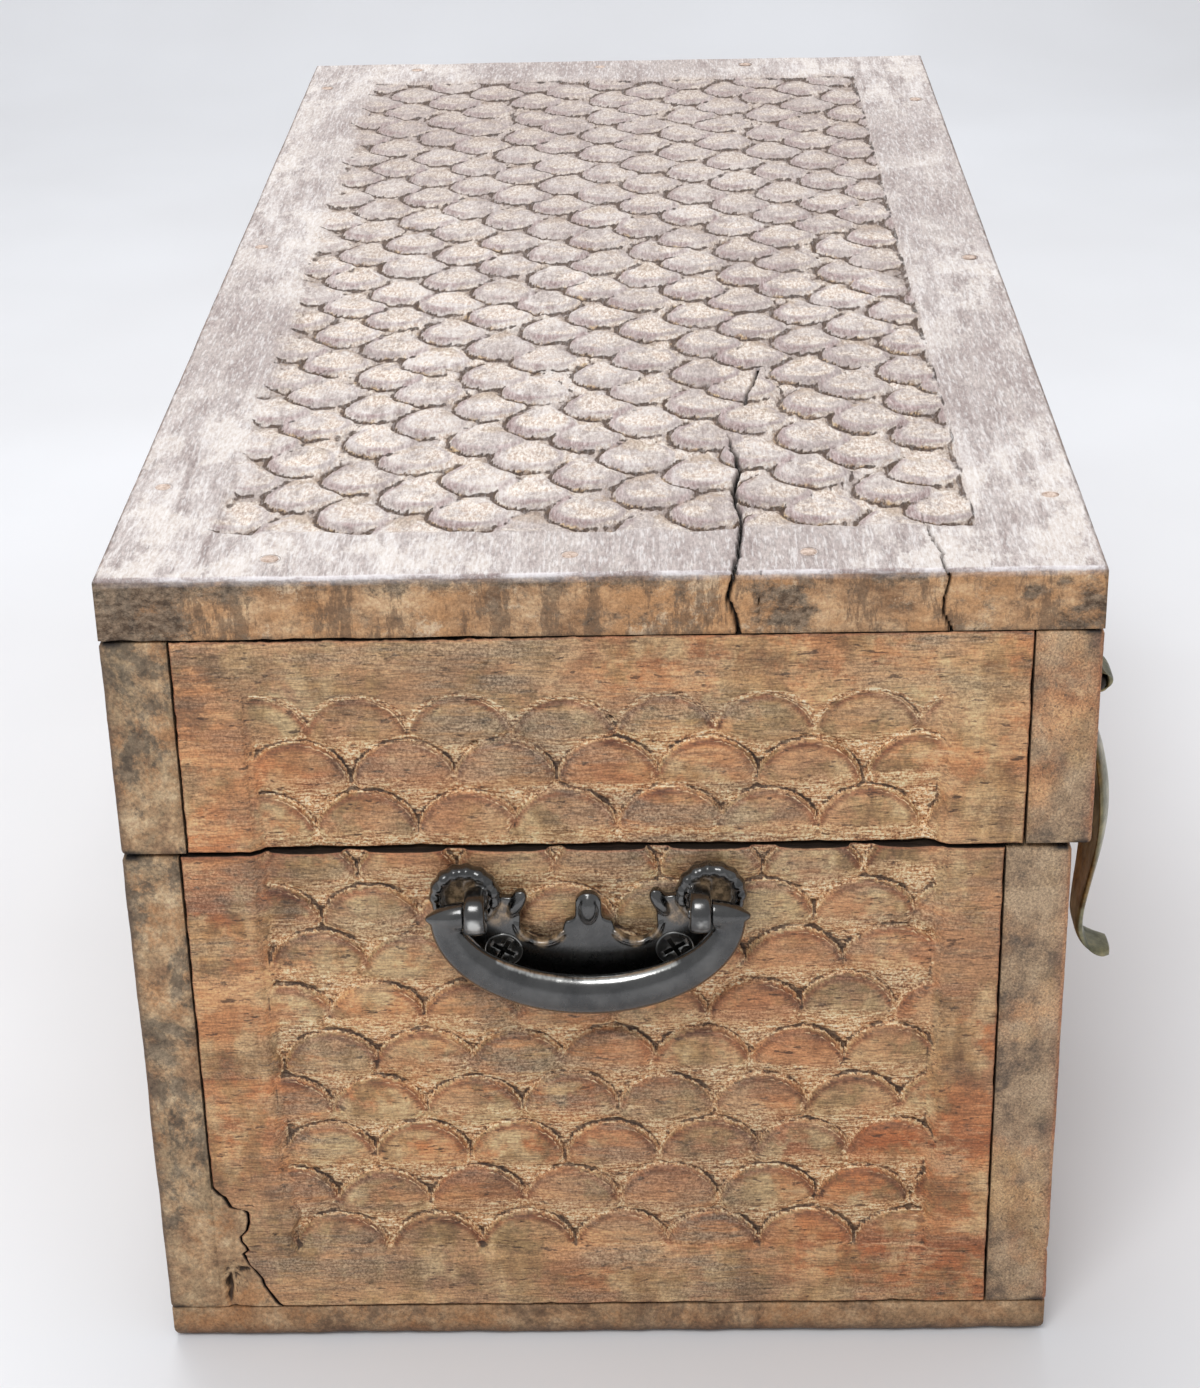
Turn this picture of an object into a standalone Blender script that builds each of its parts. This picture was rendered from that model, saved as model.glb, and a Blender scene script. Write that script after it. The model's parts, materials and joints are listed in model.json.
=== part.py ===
"""A small wooden storage chest with a hinged lid.

Boards are butted and pegged: long front and back boards cover the ends of the end boards, a base
board closes the bottom, and the lid is a shallow tray of four rails under one thick top board.
The top and both ends are carved with rows of overlapping fish scales.
Cast-iron drop handles hang on the ends, and two brass leaf hasps hang from the lid's front rail.

X runs along the chest, the front faces -Y and Z points up. The origin is the centre of the
underside. All sizes are in metres.
"""
import math

import bmesh
import bpy
from mathutils import Matrix, Vector

# Overall size
LENGTH = 0.488
DEPTH = 0.230
HEIGHT = 0.2155
LID_HEIGHT = 0.0717        # from the middle of the joint between body and lid to the top
FRONT_OVERHANG = 0.0045    # how far the lid's front stands proud of the body's

# Boards
BASE_THICK = 0.0100
TOP_THICK = 0.0155
FRONT_THICK = 0.0155
BACK_THICK = 0.0135
END_THICK = 0.0155
RAIL_THICK = 0.0155
BASE_ROUND = 0.0045
TOP_ROUND = 0.0025
CORNER_ROUND = 0.0015

# Clearances
SEAT = 0.0003              # between pieces that rest on each other
FIT = 0.0003               # round a pin, peg or shank in its hole
LID_GAP = 0.0006           # between the lid and the body
POCKET = 0.0010            # how far a cutter runs past the face that it opens

# Carved scales: rows of arcs whose tips stand highest
END_PITCH = 0.0236         # across a row, on the ends
END_ROW = 0.01335          # from one row to the next
END_DROP = 0.0085          # from a scale's tip down to its feet
END_ARC_SEGMENTS = 5
TOP_PITCH = 0.0280
TOP_ROW = 0.0121
TOP_DROP = 0.0080
TOP_ARC_SEGMENTS = 4
SCALE_SINK = 0.0003        # tips lie this far below the board's face
SCALE_SLOPE = 0.095        # fall of a scale away from its tip
SCALE_LEAN = 0.0003        # lean of the step in front of a tip
END_TIP_DROP = 0.0513      # one row of tips on the ends, below the joint
END_SCALE_SIDE = -0.0010   # place across the chest of one scale's middle on the ends
TOP_SCALE_SIDE = 0.0050
TOP_TIP_NEAR = 0.0313      # first row of tips from the left end

# Plain borders round the carving
END_BACK_BORDER = 0.0330   # from the lid's back
END_FRONT_BORDER = 0.0360
END_LOW_BORDER = 0.0157    # from the bottom of the walls
END_HIGH_BORDER = 0.0147   # from the top of the rails
TOP_BACK_BORDER = 0.0235
TOP_FRONT_BORDER = 0.0260
TOP_SIDE_BORDER = 0.0290

# Wooden pegs
PEG_RADIUS = 0.0024
PEG_SIDES = 6
PEG_BITE = 0.0140          # depth in the second board
TOP_BACK_PEGS = (0.056, 0.036)     # first from the left end, last from the right end
TOP_FRONT_PEGS = (0.043, 0.067)
TOP_LONG_SIDE_PEGS = 3
TOP_END_PEG_INSET = 0.0105
TOP_END_PEG_BACK = 0.0393  # from the lid's back
TOP_END_PEG_FRONT = 0.0670
TOP_END_PEG_MIDDLE = 0.0066
BASE_PEG_INSET = 0.0540
WALL_PEG_LOW = 0.0277      # above the bottom of the walls
WALL_PEG_HIGH = 0.0355     # below their top

# Butt hinges
HINGE_INSET = 0.0940       # from the end of the chest to the middle of a hinge
HINGE_WIDTH = 0.046
LEAF_THICK = 0.0012
LEAF_REACH = 0.0115        # how far a leaf is let into the edge of its board
BARREL_RADIUS = 0.0032
BARREL_SIDES = 12
HINGE_PIN_RADIUS = 0.0014
PIN_SIDES = 10

# Drop handles
HANDLE_SIDE = 0.0042       # place across the chest of the handle's middle
PIVOT_DROP = 0.0123        # pivot line, below the joint between body and lid
PIVOT_OUT = 0.0082         # pivot line, out from the end of the chest
PLATE_THICK = 0.0024
RING_SIDE = 0.0293         # from the handle's middle to a ring's
RING_RISE = 0.0018         # ring's middle above the pivot line
RING_RADIUS = 0.0087
RING_RIM = 0.0068          # where the ring's rim is highest
RING_HEIGHT = 0.0044
RING_CHAMFER = 0.0020
RING_WALL = 0.0012         # slope from the rim down to the floor
RING_FLOOR = 0.0030
RING_SEGMENTS = 12
HOOK_SIDE = 0.02665
HOOK_WIDTH = 0.0050
HOOK_RADIUS = 0.0046
HOOK_ROOT_RISE = 0.0006    # extra height of a hook where it leaves the plate
HOOK_MOUTH = 0.0012        # from the pivot line down to the hook's lower edge
BAIL_PIN_RADIUS = 0.0016
BAIL_PIN_INNER = 0.0236
BAIL_END_INNER = 0.0296    # each end is a short barrel on the pivot line
BAIL_END_OUTER = 0.0384
BAIL_END_RADIUS = 0.0030
BAIL_TIP_RADIUS = 0.0019
BAIL_HALF_WIDTH = 0.0344
BAIL_SAG = 0.0227          # from the pivot line to the middle of the grip
BAIL_SQUARENESS = 2.2      # exponent of the grip's oval
BAIL_GRIP_RADIUS = 0.0050
BAIL_NECK_RADIUS = 0.0028
BAIL_FLATNESS = 0.70       # thickness of the bail against its height
BAIL_SWELL = 1.5           # exponent of the grip's growth towards its middle
BAIL_STEPS = 16
HANDLE_SCREW_SIDE = 0.0205
HANDLE_SCREW_DROP = 0.0131
HANDLE_SCREW_HEAD = 0.0046
HANDLE_SCREW_SHANK = 0.0019
HANDLE_SCREW_LENGTH = 0.0150
HANDLE_SCREW_CONE = 0.0020
HANDLE_SCREW_SIDES = 10

# Outline of a handle's back plate, measured from the middle of the pivot line
FINIAL_HEIGHT = -0.0010    # middle of the round knob
FINIAL_RADIUS = 0.0032
SHOULDER = ((0.0034, -0.0052), (0.0056, -0.0058), (0.0060, -0.0084))
SCALLOP_PLACE = (0.0114, -0.0056)
SCALLOP_RADIUS = 0.0052
LEAF_POINT = ((0.0160, 0.0005), (0.0154, 0.0028), (0.0200, 0.0010))
RING_TUCK = 0.8            # the plate's edge runs behind a ring at this share of its radius
LOWER_EDGE = ((0.0262, -0.0132), (0.0222, -0.0186), (0.0125, -0.0226), (0.0, -0.0240))

# Hasps
HASP_INSET = 0.0340        # from the end of the chest to the middle of a hasp
STAPLE_DROP = 0.0425       # bar of the staple, below the top of the chest
STAPLE_OUT = 0.0042        # bar of the staple, out from the lid's front
STAPLE_WIRE = 0.0014
STAPLE_HALF_WIDTH = 0.0086
STAPLE_BEND = 0.0022
STAPLE_DEPTH = 0.0115
STRAP_THICK = 0.0020
STRAP_EYE_WIDTH = 0.0120
STRAP_CROWN = 0.0022       # how far the middle of the leaf bulges past its edges
STUD_DROP = 0.0595         # below the bar of the staple
STUD_PROUD = 0.0046
STUD_HEAD_RADIUS = 0.0046
STUD_CROWN_RADIUS = 0.0032
STUD_CROWN_PROUD = 0.0040
STUD_EDGE_PROUD = 0.0021
STUD_SHANK_RADIUS = 0.0020
STUD_SHANK_DEPTH = 0.0090
STUD_SIDES = 10

# Points down the leaf of a hasp: out from the lid's front, drop below the bar, half width
LEAF_STATIONS = (
    (0.0022, 0.0075, 0.0062),
    (0.0034, 0.0130, 0.0085),
    (0.0050, 0.0195, 0.0110),
    (0.0062, 0.0270, 0.0125),
    (0.0066, 0.0350, 0.0125),
    (0.0060, 0.0440, 0.0112),
    (0.0044, 0.0550, 0.0086),
    (0.0031, 0.0640, 0.0068),
    (0.0031, 0.0700, 0.0064),
    (0.0052, 0.0745, 0.0062),
    (0.0088, 0.0768, 0.0052),
    (0.0122, 0.0774, 0.0036),
)

# Places worked out from the sizes above
HALF_LENGTH = LENGTH / 2
LID_FRONT = -DEPTH / 2
LID_BACK = DEPTH / 2
BODY_FRONT = LID_FRONT + FRONT_OVERHANG
BODY_BACK = LID_BACK
SEAM_HEIGHT = HEIGHT - LID_HEIGHT
BODY_TOP = SEAM_HEIGHT - LID_GAP / 2
LID_BOTTOM = SEAM_HEIGHT + LID_GAP / 2
WALL_BOTTOM = BASE_THICK + SEAT
RAIL_TOP = HEIGHT - TOP_THICK - SEAT
FRONT_INNER = BODY_FRONT + FRONT_THICK
BACK_INNER = BODY_BACK - BACK_THICK
RAIL_FRONT_INNER = LID_FRONT + RAIL_THICK
RAIL_BACK_INNER = LID_BACK - RAIL_THICK
END_INNER = HALF_LENGTH - END_THICK
HINGE_AXIS_Y = BODY_BACK + BARREL_RADIUS + FIT
PIVOT_HEIGHT = SEAM_HEIGHT - PIVOT_DROP
STAPLE_HEIGHT = HEIGHT - STAPLE_DROP

UP = Vector((0, 0, 1))
FLAT_ANGLE = math.radians(0.1)     # faces closer than this lie in one plane
LEFT, RIGHT = -1, 1
SIDE_NAMES = {LEFT: "left", RIGHT: "right"}

# Finishes: colour, roughness, metallic
FINISHES = {
    "carved_wood": ((0.36, 0.22, 0.12), 0.75, 0.0),
    "worn_top_wood": ((0.50, 0.43, 0.37), 0.85, 0.0),
    "grey_edge_wood": ((0.30, 0.23, 0.17), 0.80, 0.0),
    "peg_wood": ((0.28, 0.18, 0.10), 0.80, 0.0),
    "cast_iron": ((0.035, 0.033, 0.032), 0.45, 0.9),
    "steel_screw": ((0.10, 0.10, 0.10), 0.40, 1.0),
    "old_brass": ((0.33, 0.27, 0.12), 0.38, 1.0),
    "dark_iron": ((0.05, 0.04, 0.035), 0.60, 0.8),
}


def clear_scene():
    """Take every object out of the file."""
    for obj in list(bpy.data.objects):
        bpy.data.objects.remove(obj, do_unlink=True)


def new_collection(name):
    collection = bpy.data.collections.new(name)
    bpy.context.scene.collection.children.link(collection)
    return collection


def coat(obj, finish):
    """Give an object its own material in one of the finishes."""
    colour, roughness, metallic = FINISHES[finish]
    material = bpy.data.materials.new(obj.name + "_" + finish)
    material.use_nodes = True
    shader = material.node_tree.nodes["Principled BSDF"]
    shader.inputs["Base Color"].default_value = (*colour, 1.0)
    shader.inputs["Roughness"].default_value = roughness
    shader.inputs["Metallic"].default_value = metallic
    material.diffuse_color = (*colour, 1.0)
    obj.data.materials.append(material)


def mesh_object(name, bm, collection, place=Vector(), turn=0.0):
    """Make an object of a bmesh, with its faces pointing out."""
    bmesh.ops.recalc_face_normals(bm, faces=bm.faces[:])
    mesh = bpy.data.meshes.new(name)
    bm.to_mesh(mesh)
    bm.free()
    obj = bpy.data.objects.new(name, mesh)
    obj.location = place
    obj.rotation_euler.z = turn
    collection.objects.link(obj)
    return obj


def part(name, bm, finish, place=Vector(), turn=0.0):
    obj = mesh_object(name, bm, PARTS, place, turn)
    coat(obj, finish)
    return obj


def tool(name, bm, place=Vector(), turn=0.0):
    """A shape that only cuts or joins, shown as wire."""
    obj = mesh_object(name, bm, TOOLS, place, turn)
    obj.hide_render = True
    obj.display_type = "WIRE"
    return obj


def apply_tool(target, operation, cutter):
    modifier = target.modifiers.new(cutter.name, "BOOLEAN")
    modifier.operation = operation
    modifier.solver = "EXACT"
    modifier.object = cutter


def cut(target, cutter):
    apply_tool(target, "DIFFERENCE", cutter)


def join(target, piece):
    apply_tool(target, "UNION", piece)


def smooth(obj, angle=40.0):
    obj.data.shade_smooth()
    obj.data.set_sharp_from_angle(angle=math.radians(angle))


def turned_to(direction, place):
    """Matrix that stands a shape made along Z along a direction, at a place."""
    return Matrix.Translation(place) @ Vector(direction).to_track_quat("Z", "Y").to_matrix().to_4x4()


def add_rod(bm, start, end, radius, sides, end_radius=None):
    """A round or many-sided rod from one point to another."""
    start, end = Vector(start), Vector(end)
    bmesh.ops.create_cone(
        bm, cap_ends=True, segments=sides, radius1=radius,
        radius2=radius if end_radius is None else end_radius,
        depth=(end - start).length, matrix=turned_to(end - start, (start + end) / 2))


def add_block(bm, low, high):
    low, high = Vector(low), Vector(high)
    made = bmesh.ops.create_cube(bm, size=1.0)
    bmesh.ops.scale(bm, vec=high - low, verts=made["verts"])
    bmesh.ops.translate(bm, vec=(low + high) / 2, verts=made["verts"])


def slab(outline, thickness, across):
    """Extrude a flat outline, a list of points, by a thickness along a direction."""
    bm = bmesh.new()
    face = bm.faces.new([bm.verts.new(point) for point in outline])
    grown = bmesh.ops.extrude_face_region(bm, geom=[face])
    moved = [item for item in grown["geom"] if isinstance(item, bmesh.types.BMVert)]
    bmesh.ops.translate(bm, vec=Vector(across) * thickness, verts=moved)
    return bm


def turned(profile, segments):
    """Spin a profile of (radius, height) points, first and last on the axis, about Z."""
    bm = bmesh.new()
    verts = [bm.verts.new((radius, 0, height)) for radius, height in profile]
    edges = [bm.edges.new(pair) for pair in zip(verts, verts[1:])]
    bmesh.ops.spin(bm, geom=verts + edges, cent=(0, 0, 0), axis=UP, angle=2 * math.pi,
                   steps=segments, use_merge=True)
    bmesh.ops.remove_doubles(bm, verts=bm.verts[:], dist=1e-6)
    return bm


def arc(centre, radius, start, end, count):
    """Points on an arc, with angles in degrees, both ends included."""
    points = []
    for index in range(count + 1):
        angle = math.radians(start + (end - start) * index / count)
        points.append((centre[0] + radius * math.cos(angle), centre[1] + radius * math.sin(angle)))
    return points


def board(name, low, high, finish, rounding=0.0, rounded=None):
    """A board between two corners, with some of its edges worn round.

    rounded takes the middle of an edge on a cube of side 2 and says whether to round it.
    """
    low, high = Vector(low), Vector(high)
    bm = bmesh.new()
    bmesh.ops.create_cube(bm, size=2.0)
    picked = []
    if rounded:
        picked = [edge for edge in bm.edges if rounded((edge.verts[0].co + edge.verts[1].co) / 2)]
    bmesh.ops.scale(bm, vec=(high - low) / 2, verts=bm.verts)
    if picked:
        bmesh.ops.bevel(bm, geom=picked, offset=rounding, offset_type="OFFSET", segments=2,
                        profile=0.5, affect="EDGES", material=-1, clamp_overlap=True)
    return part(name, bm, finish, (low + high) / 2)


def top_and_corner_edges(middle):
    return middle.z > 0.5 or abs(middle.x * middle.y) > 0.5


def bottom_and_corner_edges(middle):
    return middle.z < -0.5 or abs(middle.x * middle.y) > 0.5


def front_corner_edges(middle):
    return middle.y < -0.5 and abs(middle.x) > 0.5


def back_corner_edges(middle):
    return middle.y > 0.5 and abs(middle.x) > 0.5


def front_and_lip_edges(middle):
    return middle.y < -0.5 and (abs(middle.x) > 0.5 or middle.z < -0.5)


def make_boards():
    """The ten boards of the body and the lid."""
    boards = {}

    def add(name, low, high, finish, rounding=0.0, rounded=None):
        boards[name] = board(name, low, high, finish, rounding, rounded)

    add("base_board", (-HALF_LENGTH, BODY_FRONT, 0), (HALF_LENGTH, BODY_BACK, BASE_THICK),
        "grey_edge_wood", BASE_ROUND, bottom_and_corner_edges)
    add("front_board", (-HALF_LENGTH, BODY_FRONT, WALL_BOTTOM), (HALF_LENGTH, FRONT_INNER, BODY_TOP),
        "carved_wood", CORNER_ROUND, front_corner_edges)
    add("back_board", (-HALF_LENGTH, BACK_INNER, WALL_BOTTOM), (HALF_LENGTH, BODY_BACK, BODY_TOP),
        "grey_edge_wood", CORNER_ROUND, back_corner_edges)
    add("lid_top_board", (-HALF_LENGTH, LID_FRONT, HEIGHT - TOP_THICK), (HALF_LENGTH, LID_BACK, HEIGHT),
        "worn_top_wood", TOP_ROUND, top_and_corner_edges)
    add("lid_front_rail", (-HALF_LENGTH, LID_FRONT, LID_BOTTOM), (HALF_LENGTH, RAIL_FRONT_INNER, RAIL_TOP),
        "carved_wood", CORNER_ROUND, front_and_lip_edges)
    add("lid_back_rail", (-HALF_LENGTH, RAIL_BACK_INNER, LID_BOTTOM), (HALF_LENGTH, LID_BACK, RAIL_TOP),
        "grey_edge_wood", CORNER_ROUND, back_corner_edges)
    for side in (LEFT, RIGHT):
        x_low, x_high = sorted((side * END_INNER, side * HALF_LENGTH))
        add(SIDE_NAMES[side] + "_end_board", (x_low, FRONT_INNER + SEAT, WALL_BOTTOM),
            (x_high, BACK_INNER - SEAT, BODY_TOP), "carved_wood")
        add("lid_" + SIDE_NAMES[side] + "_rail", (x_low, RAIL_FRONT_INNER + SEAT, LID_BOTTOM),
            (x_high, RAIL_BACK_INNER - SEAT, RAIL_TOP), "carved_wood")
    return boards


def scale_arc(pitch, drop, segments):
    """Side and fall of the points on a scale's arc, from its left foot to its right one."""
    half = pitch / 2
    radius = (half ** 2 + drop ** 2) / (2 * drop)
    spread = math.asin(half / radius)
    turns = [spread * (2 * step / segments - 1) for step in range(segments + 1)]
    return [(radius * math.sin(turn), radius * (1 - math.cos(turn))) for turn in turns]


def scale_rows(pitch, row, drop, segments, across, along, middle, tip):
    """Rows of overlapping scales that cover a field, as one open sheet.

    across and along are the field's limits, middle and tip place one scale in it. Each row is a
    strip that falls away from its tips, and at its tips a step leads down to the next strip.
    """
    bm = bmesh.new()
    arc_line = scale_arc(pitch, drop, segments)
    first_scale = math.floor((across[0] - middle) / pitch) - 1
    last_scale = math.ceil((across[1] - middle) / pitch) + 1

    def wave(index, strip, lean):
        """Vertices along the tips of one row, on the strip of that row or of the next."""
        shift = pitch / 2 if index % 2 else 0.0
        verts = []
        for number in range(first_scale, last_scale + 1):
            for side, fall in arc_line[:-1]:
                v = tip + index * row - fall + lean
                depth = SCALE_SINK + SCALE_SLOPE * (tip + strip * row - v)
                verts.append(bm.verts.new((middle + shift + number * pitch + side, v, -depth)))
        return verts

    below = None
    for index in range(math.floor((along[0] - tip) / row), math.ceil((along[1] + drop - tip) / row) + 1):
        edge = wave(index, index, 0.0)
        foot = wave(index, index + 1, SCALE_LEAN)
        if below:
            bm.faces.new(edge + below[::-1])
        for corners in zip(edge, edge[1:], foot[1:], foot):
            bm.faces.new(corners)
        below = foot
    bmesh.ops.triangulate(bm, faces=bm.faces[:])
    return bm


def trim_to_field(bm, across, along):
    """Cut a sheet off at the four sides of a field."""
    sides = (((across[0], 0, 0), (-1, 0, 0)), ((across[1], 0, 0), (1, 0, 0)),
             ((0, along[0], 0), (0, -1, 0)), ((0, along[1], 0), (0, 1, 0)))
    for place, outwards in sides:
        bmesh.ops.bisect_plane(bm, geom=bm.verts[:] + bm.edges[:] + bm.faces[:], dist=1e-7,
                               plane_co=place, plane_no=outwards, clear_outer=True)


def close_upwards(bm, height):
    """Grow the rim of a sheet straight up to a height, close it there and merge flat faces."""
    rim = [edge for edge in bm.edges if edge.is_boundary]
    grown = bmesh.ops.extrude_edge_only(bm, edges=rim)
    for item in grown["geom"]:
        if isinstance(item, bmesh.types.BMVert):
            item.co.z = height
    bmesh.ops.edgeloop_fill(bm, edges=[edge for edge in bm.edges if edge.is_boundary])
    bmesh.ops.dissolve_limit(bm, angle_limit=FLAT_ANGLE, verts=bm.verts[:], edges=bm.edges[:])


def carve(target, name, face_point, outwards, upwards, borders, **pattern):
    """Carve a field of scales into a board.

    The field is drawn flat and then laid on the board's face: its tips point along upwards.
    borders are the field's limits across and along it.
    """
    outwards, upwards = Vector(outwards), Vector(upwards)
    sideways = upwards.cross(outwards)
    across, along = borders
    bm = scale_rows(across=across, along=along, **pattern)
    trim_to_field(bm, across, along)
    close_upwards(bm, POCKET)
    lay = Matrix((sideways, upwards, outwards)).transposed().to_4x4()
    bmesh.ops.transform(bm, matrix=lay, verts=bm.verts)
    bmesh.ops.translate(bm, vec=face_point, verts=bm.verts)
    cut(target, tool(name, bm))


def carve_boards(boards):
    """Carve the top and both ends."""
    upright = {"pitch": END_PITCH, "row": END_ROW, "drop": END_DROP, "segments": END_ARC_SEGMENTS,
               "tip": SEAM_HEIGHT - END_TIP_DROP}
    low = WALL_BOTTOM + END_LOW_BORDER
    high = RAIL_TOP - END_HIGH_BORDER
    for side in (LEFT, RIGHT):
        limits = sorted((side * (LID_BACK - END_BACK_BORDER), side * (LID_FRONT + END_FRONT_BORDER)))
        face, outwards = (side * HALF_LENGTH, 0, 0), (side, 0, 0)
        middle = side * END_SCALE_SIDE
        body, lid = SIDE_NAMES[side] + "_end_board", "lid_" + SIDE_NAMES[side] + "_rail"
        carve(boards[body], body + "_carving", face, outwards, UP, (limits, (low, BODY_TOP + POCKET)),
              middle=middle, **upright)
        carve(boards[lid], lid + "_carving", face, outwards, UP, (limits, (LID_BOTTOM - POCKET, high)),
              middle=middle, **upright)
    half = HALF_LENGTH - TOP_SIDE_BORDER
    limits = (LID_FRONT + TOP_FRONT_BORDER, LID_BACK - TOP_BACK_BORDER)
    carve(boards["lid_top_board"], "top_carving", (0, 0, HEIGHT), UP, (-1, 0, 0),
          (limits, (-half, half)), middle=TOP_SCALE_SIDE, pitch=TOP_PITCH, row=TOP_ROW, drop=TOP_DROP,
          segments=TOP_ARC_SEGMENTS, tip=HALF_LENGTH - TOP_TIP_NEAR)


def peg_set(name, heads, inwards, first_thick, boards):
    """Pegs driven square through one board into the next, and their holes.

    heads are the places on the outer face, and each peg stops SEAT short of it.
    """
    inwards = Vector(inwards)
    length = first_thick + PEG_BITE
    holes = bmesh.new()
    shared = None
    for number, head in enumerate(heads, start=1):
        place = Vector(head)
        label = name + "_" + str(number)
        if shared is None:
            peg = bmesh.new()
            add_rod(peg, inwards * SEAT, inwards * length, PEG_RADIUS, PEG_SIDES)
            shared = part(label, peg, "peg_wood", place)
        else:
            copy = bpy.data.objects.new(label, shared.data)
            copy.location = place
            PARTS.objects.link(copy)
        add_rod(holes, place - inwards * POCKET, place + inwards * (length + FIT), PEG_RADIUS + FIT, PEG_SIDES)
    cutter = tool(name + "_holes", holes)
    for target in boards:
        cut(target, cutter)


def peg_line(insets, count):
    """Places along the chest from the first peg to the last."""
    first, last = -HALF_LENGTH + insets[0], HALF_LENGTH - insets[1]
    return [first + (last - first) * step / (count - 1) for step in range(count)]


def make_pegs(boards):
    """Pegs through the top board, the base board and the ends of the long boards."""
    front_middle = BODY_FRONT + FRONT_THICK / 2
    back_middle = BODY_BACK - BACK_THICK / 2
    rail_front = LID_FRONT + RAIL_THICK / 2
    rail_back = LID_BACK - RAIL_THICK / 2
    end_middle = HALF_LENGTH - END_THICK / 2
    top_heads = [(x, rail_back, HEIGHT) for x in peg_line(TOP_BACK_PEGS, TOP_LONG_SIDE_PEGS)]
    top_heads += [(x, rail_front, HEIGHT) for x in peg_line(TOP_FRONT_PEGS, TOP_LONG_SIDE_PEGS)]
    end_places = (LID_BACK - TOP_END_PEG_BACK, TOP_END_PEG_MIDDLE, LID_FRONT + TOP_END_PEG_FRONT)
    for side in (LEFT, RIGHT):
        top_heads += [(side * (HALF_LENGTH - TOP_END_PEG_INSET), y, HEIGHT) for y in end_places]
    lid_boards = [boards[name] for name in ("lid_top_board", "lid_front_rail", "lid_back_rail",
                                            "lid_left_rail", "lid_right_rail")]
    peg_set("lid_top_peg", top_heads, -UP, TOP_THICK, lid_boards)
    base_x = HALF_LENGTH - BASE_PEG_INSET
    base_heads = [(side * base_x, y, 0) for side in (LEFT, RIGHT) for y in (front_middle, back_middle)]
    peg_set("base_peg", base_heads, UP, BASE_THICK,
            [boards["base_board"], boards["front_board"], boards["back_board"]])
    wall_heights = (WALL_BOTTOM + WALL_PEG_LOW, BODY_TOP - WALL_PEG_HIGH)
    rail_heights = ((LID_BOTTOM + RAIL_TOP) / 2,)
    corner_sets = (
        ("body_front_peg", BODY_FRONT, 1, FRONT_THICK, wall_heights, "front_board", "_end_board"),
        ("body_back_peg", BODY_BACK, -1, BACK_THICK, wall_heights, "back_board", "_end_board"),
        ("lid_front_peg", LID_FRONT, 1, RAIL_THICK, rail_heights, "lid_front_rail", "_rail"),
        ("lid_back_peg", LID_BACK, -1, RAIL_THICK, rail_heights, "lid_back_rail", "_rail"),
    )
    for name, face, inwards, thick, heights, outer, inner in corner_sets:
        lid = "lid_" if inner == "_rail" else ""
        heads = [(side * end_middle, face, height) for side in (LEFT, RIGHT) for height in heights]
        peg_set(name, heads, (0, inwards, 0), thick,
                [boards[outer], boards[lid + "left" + inner], boards[lid + "right" + inner]])


def hinge_leaf(name, place, level, rise, own_knuckles, board_obj):
    """One leaf with its knuckles, let into the edge of its board.

    level is the edge of the board, rise is +1 for the lid and -1 for the body, and own_knuckles
    are the knuckles' limits along the pin. The leaf is cut back round the other leaf's knuckles.
    """
    edge = level - SEAM_HEIGHT
    inner = BODY_BACK - HINGE_AXIS_Y - LEAF_REACH
    low, high = sorted((edge, edge + rise * LEAF_THICK))
    bm = bmesh.new()
    add_block(bm, (-HINGE_WIDTH / 2, inner, low), (HINGE_WIDTH / 2, -BARREL_RADIUS - FIT, high))
    leaf = part(name, bm, "dark_iron", Vector((place, HINGE_AXIS_Y, SEAM_HEIGHT)))
    necks, barrels = bmesh.new(), bmesh.new()
    for start, end in own_knuckles:
        add_block(necks, (start, -BARREL_RADIUS - 2 * FIT, low), (end, 0, high))
        add_rod(barrels, (start, 0, 0), (end, 0, 0), BARREL_RADIUS, BARREL_SIDES)
    join(leaf, tool(name + "_necks", necks, leaf.location))
    join(leaf, tool(name + "_barrels", barrels, leaf.location))
    bore = bmesh.new()
    add_rod(bore, (-HINGE_WIDTH, 0, 0), (HINGE_WIDTH, 0, 0), HINGE_PIN_RADIUS + FIT, PIN_SIDES)
    cut(leaf, tool(name + "_bore", bore, leaf.location))
    mortise = bmesh.new()
    low, high = sorted((edge - rise * POCKET, edge + rise * (LEAF_THICK + SEAT)))
    add_block(mortise, (-HINGE_WIDTH / 2 - SEAT, inner - SEAT, low), (HINGE_WIDTH / 2 + SEAT, 0, high))
    cut(board_obj, tool(name + "_mortise", mortise, leaf.location))
    return leaf


def weld_rods(bm):
    """Make one solid of rods that share an end circle."""
    bmesh.ops.remove_doubles(bm, verts=bm.verts[:], dist=1e-6)
    doubled = [face for face in bm.faces if all(len(edge.link_faces) > 2 for edge in face.edges)]
    bmesh.ops.delete(bm, geom=doubled, context="FACES_ONLY")


def make_hinges(boards):
    """Two butt hinges across the joint at the back."""
    third = HINGE_WIDTH / 6
    outer = ((-3 * third, -third - FIT / 2), (third + FIT / 2, 3 * third))
    middle = ((-third + FIT / 2, third - FIT / 2),)
    for side in (LEFT, RIGHT):
        place = side * (HALF_LENGTH - HINGE_INSET)
        label = SIDE_NAMES[side] + "_hinge"
        hinge_leaf(label + "_body_leaf", place, BODY_TOP, -1, outer, boards["back_board"])
        hinge_leaf(label + "_lid_leaf", place, LID_BOTTOM, 1, middle, boards["lid_back_rail"])
        pin = bmesh.new()
        reach = HINGE_WIDTH / 2
        add_rod(pin, (-reach, 0, 0), (reach, 0, 0), HINGE_PIN_RADIUS, PIN_SIDES)
        part(label + "_pin", pin, "dark_iron", Vector((place, HINGE_AXIS_Y, SEAM_HEIGHT)))


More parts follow.
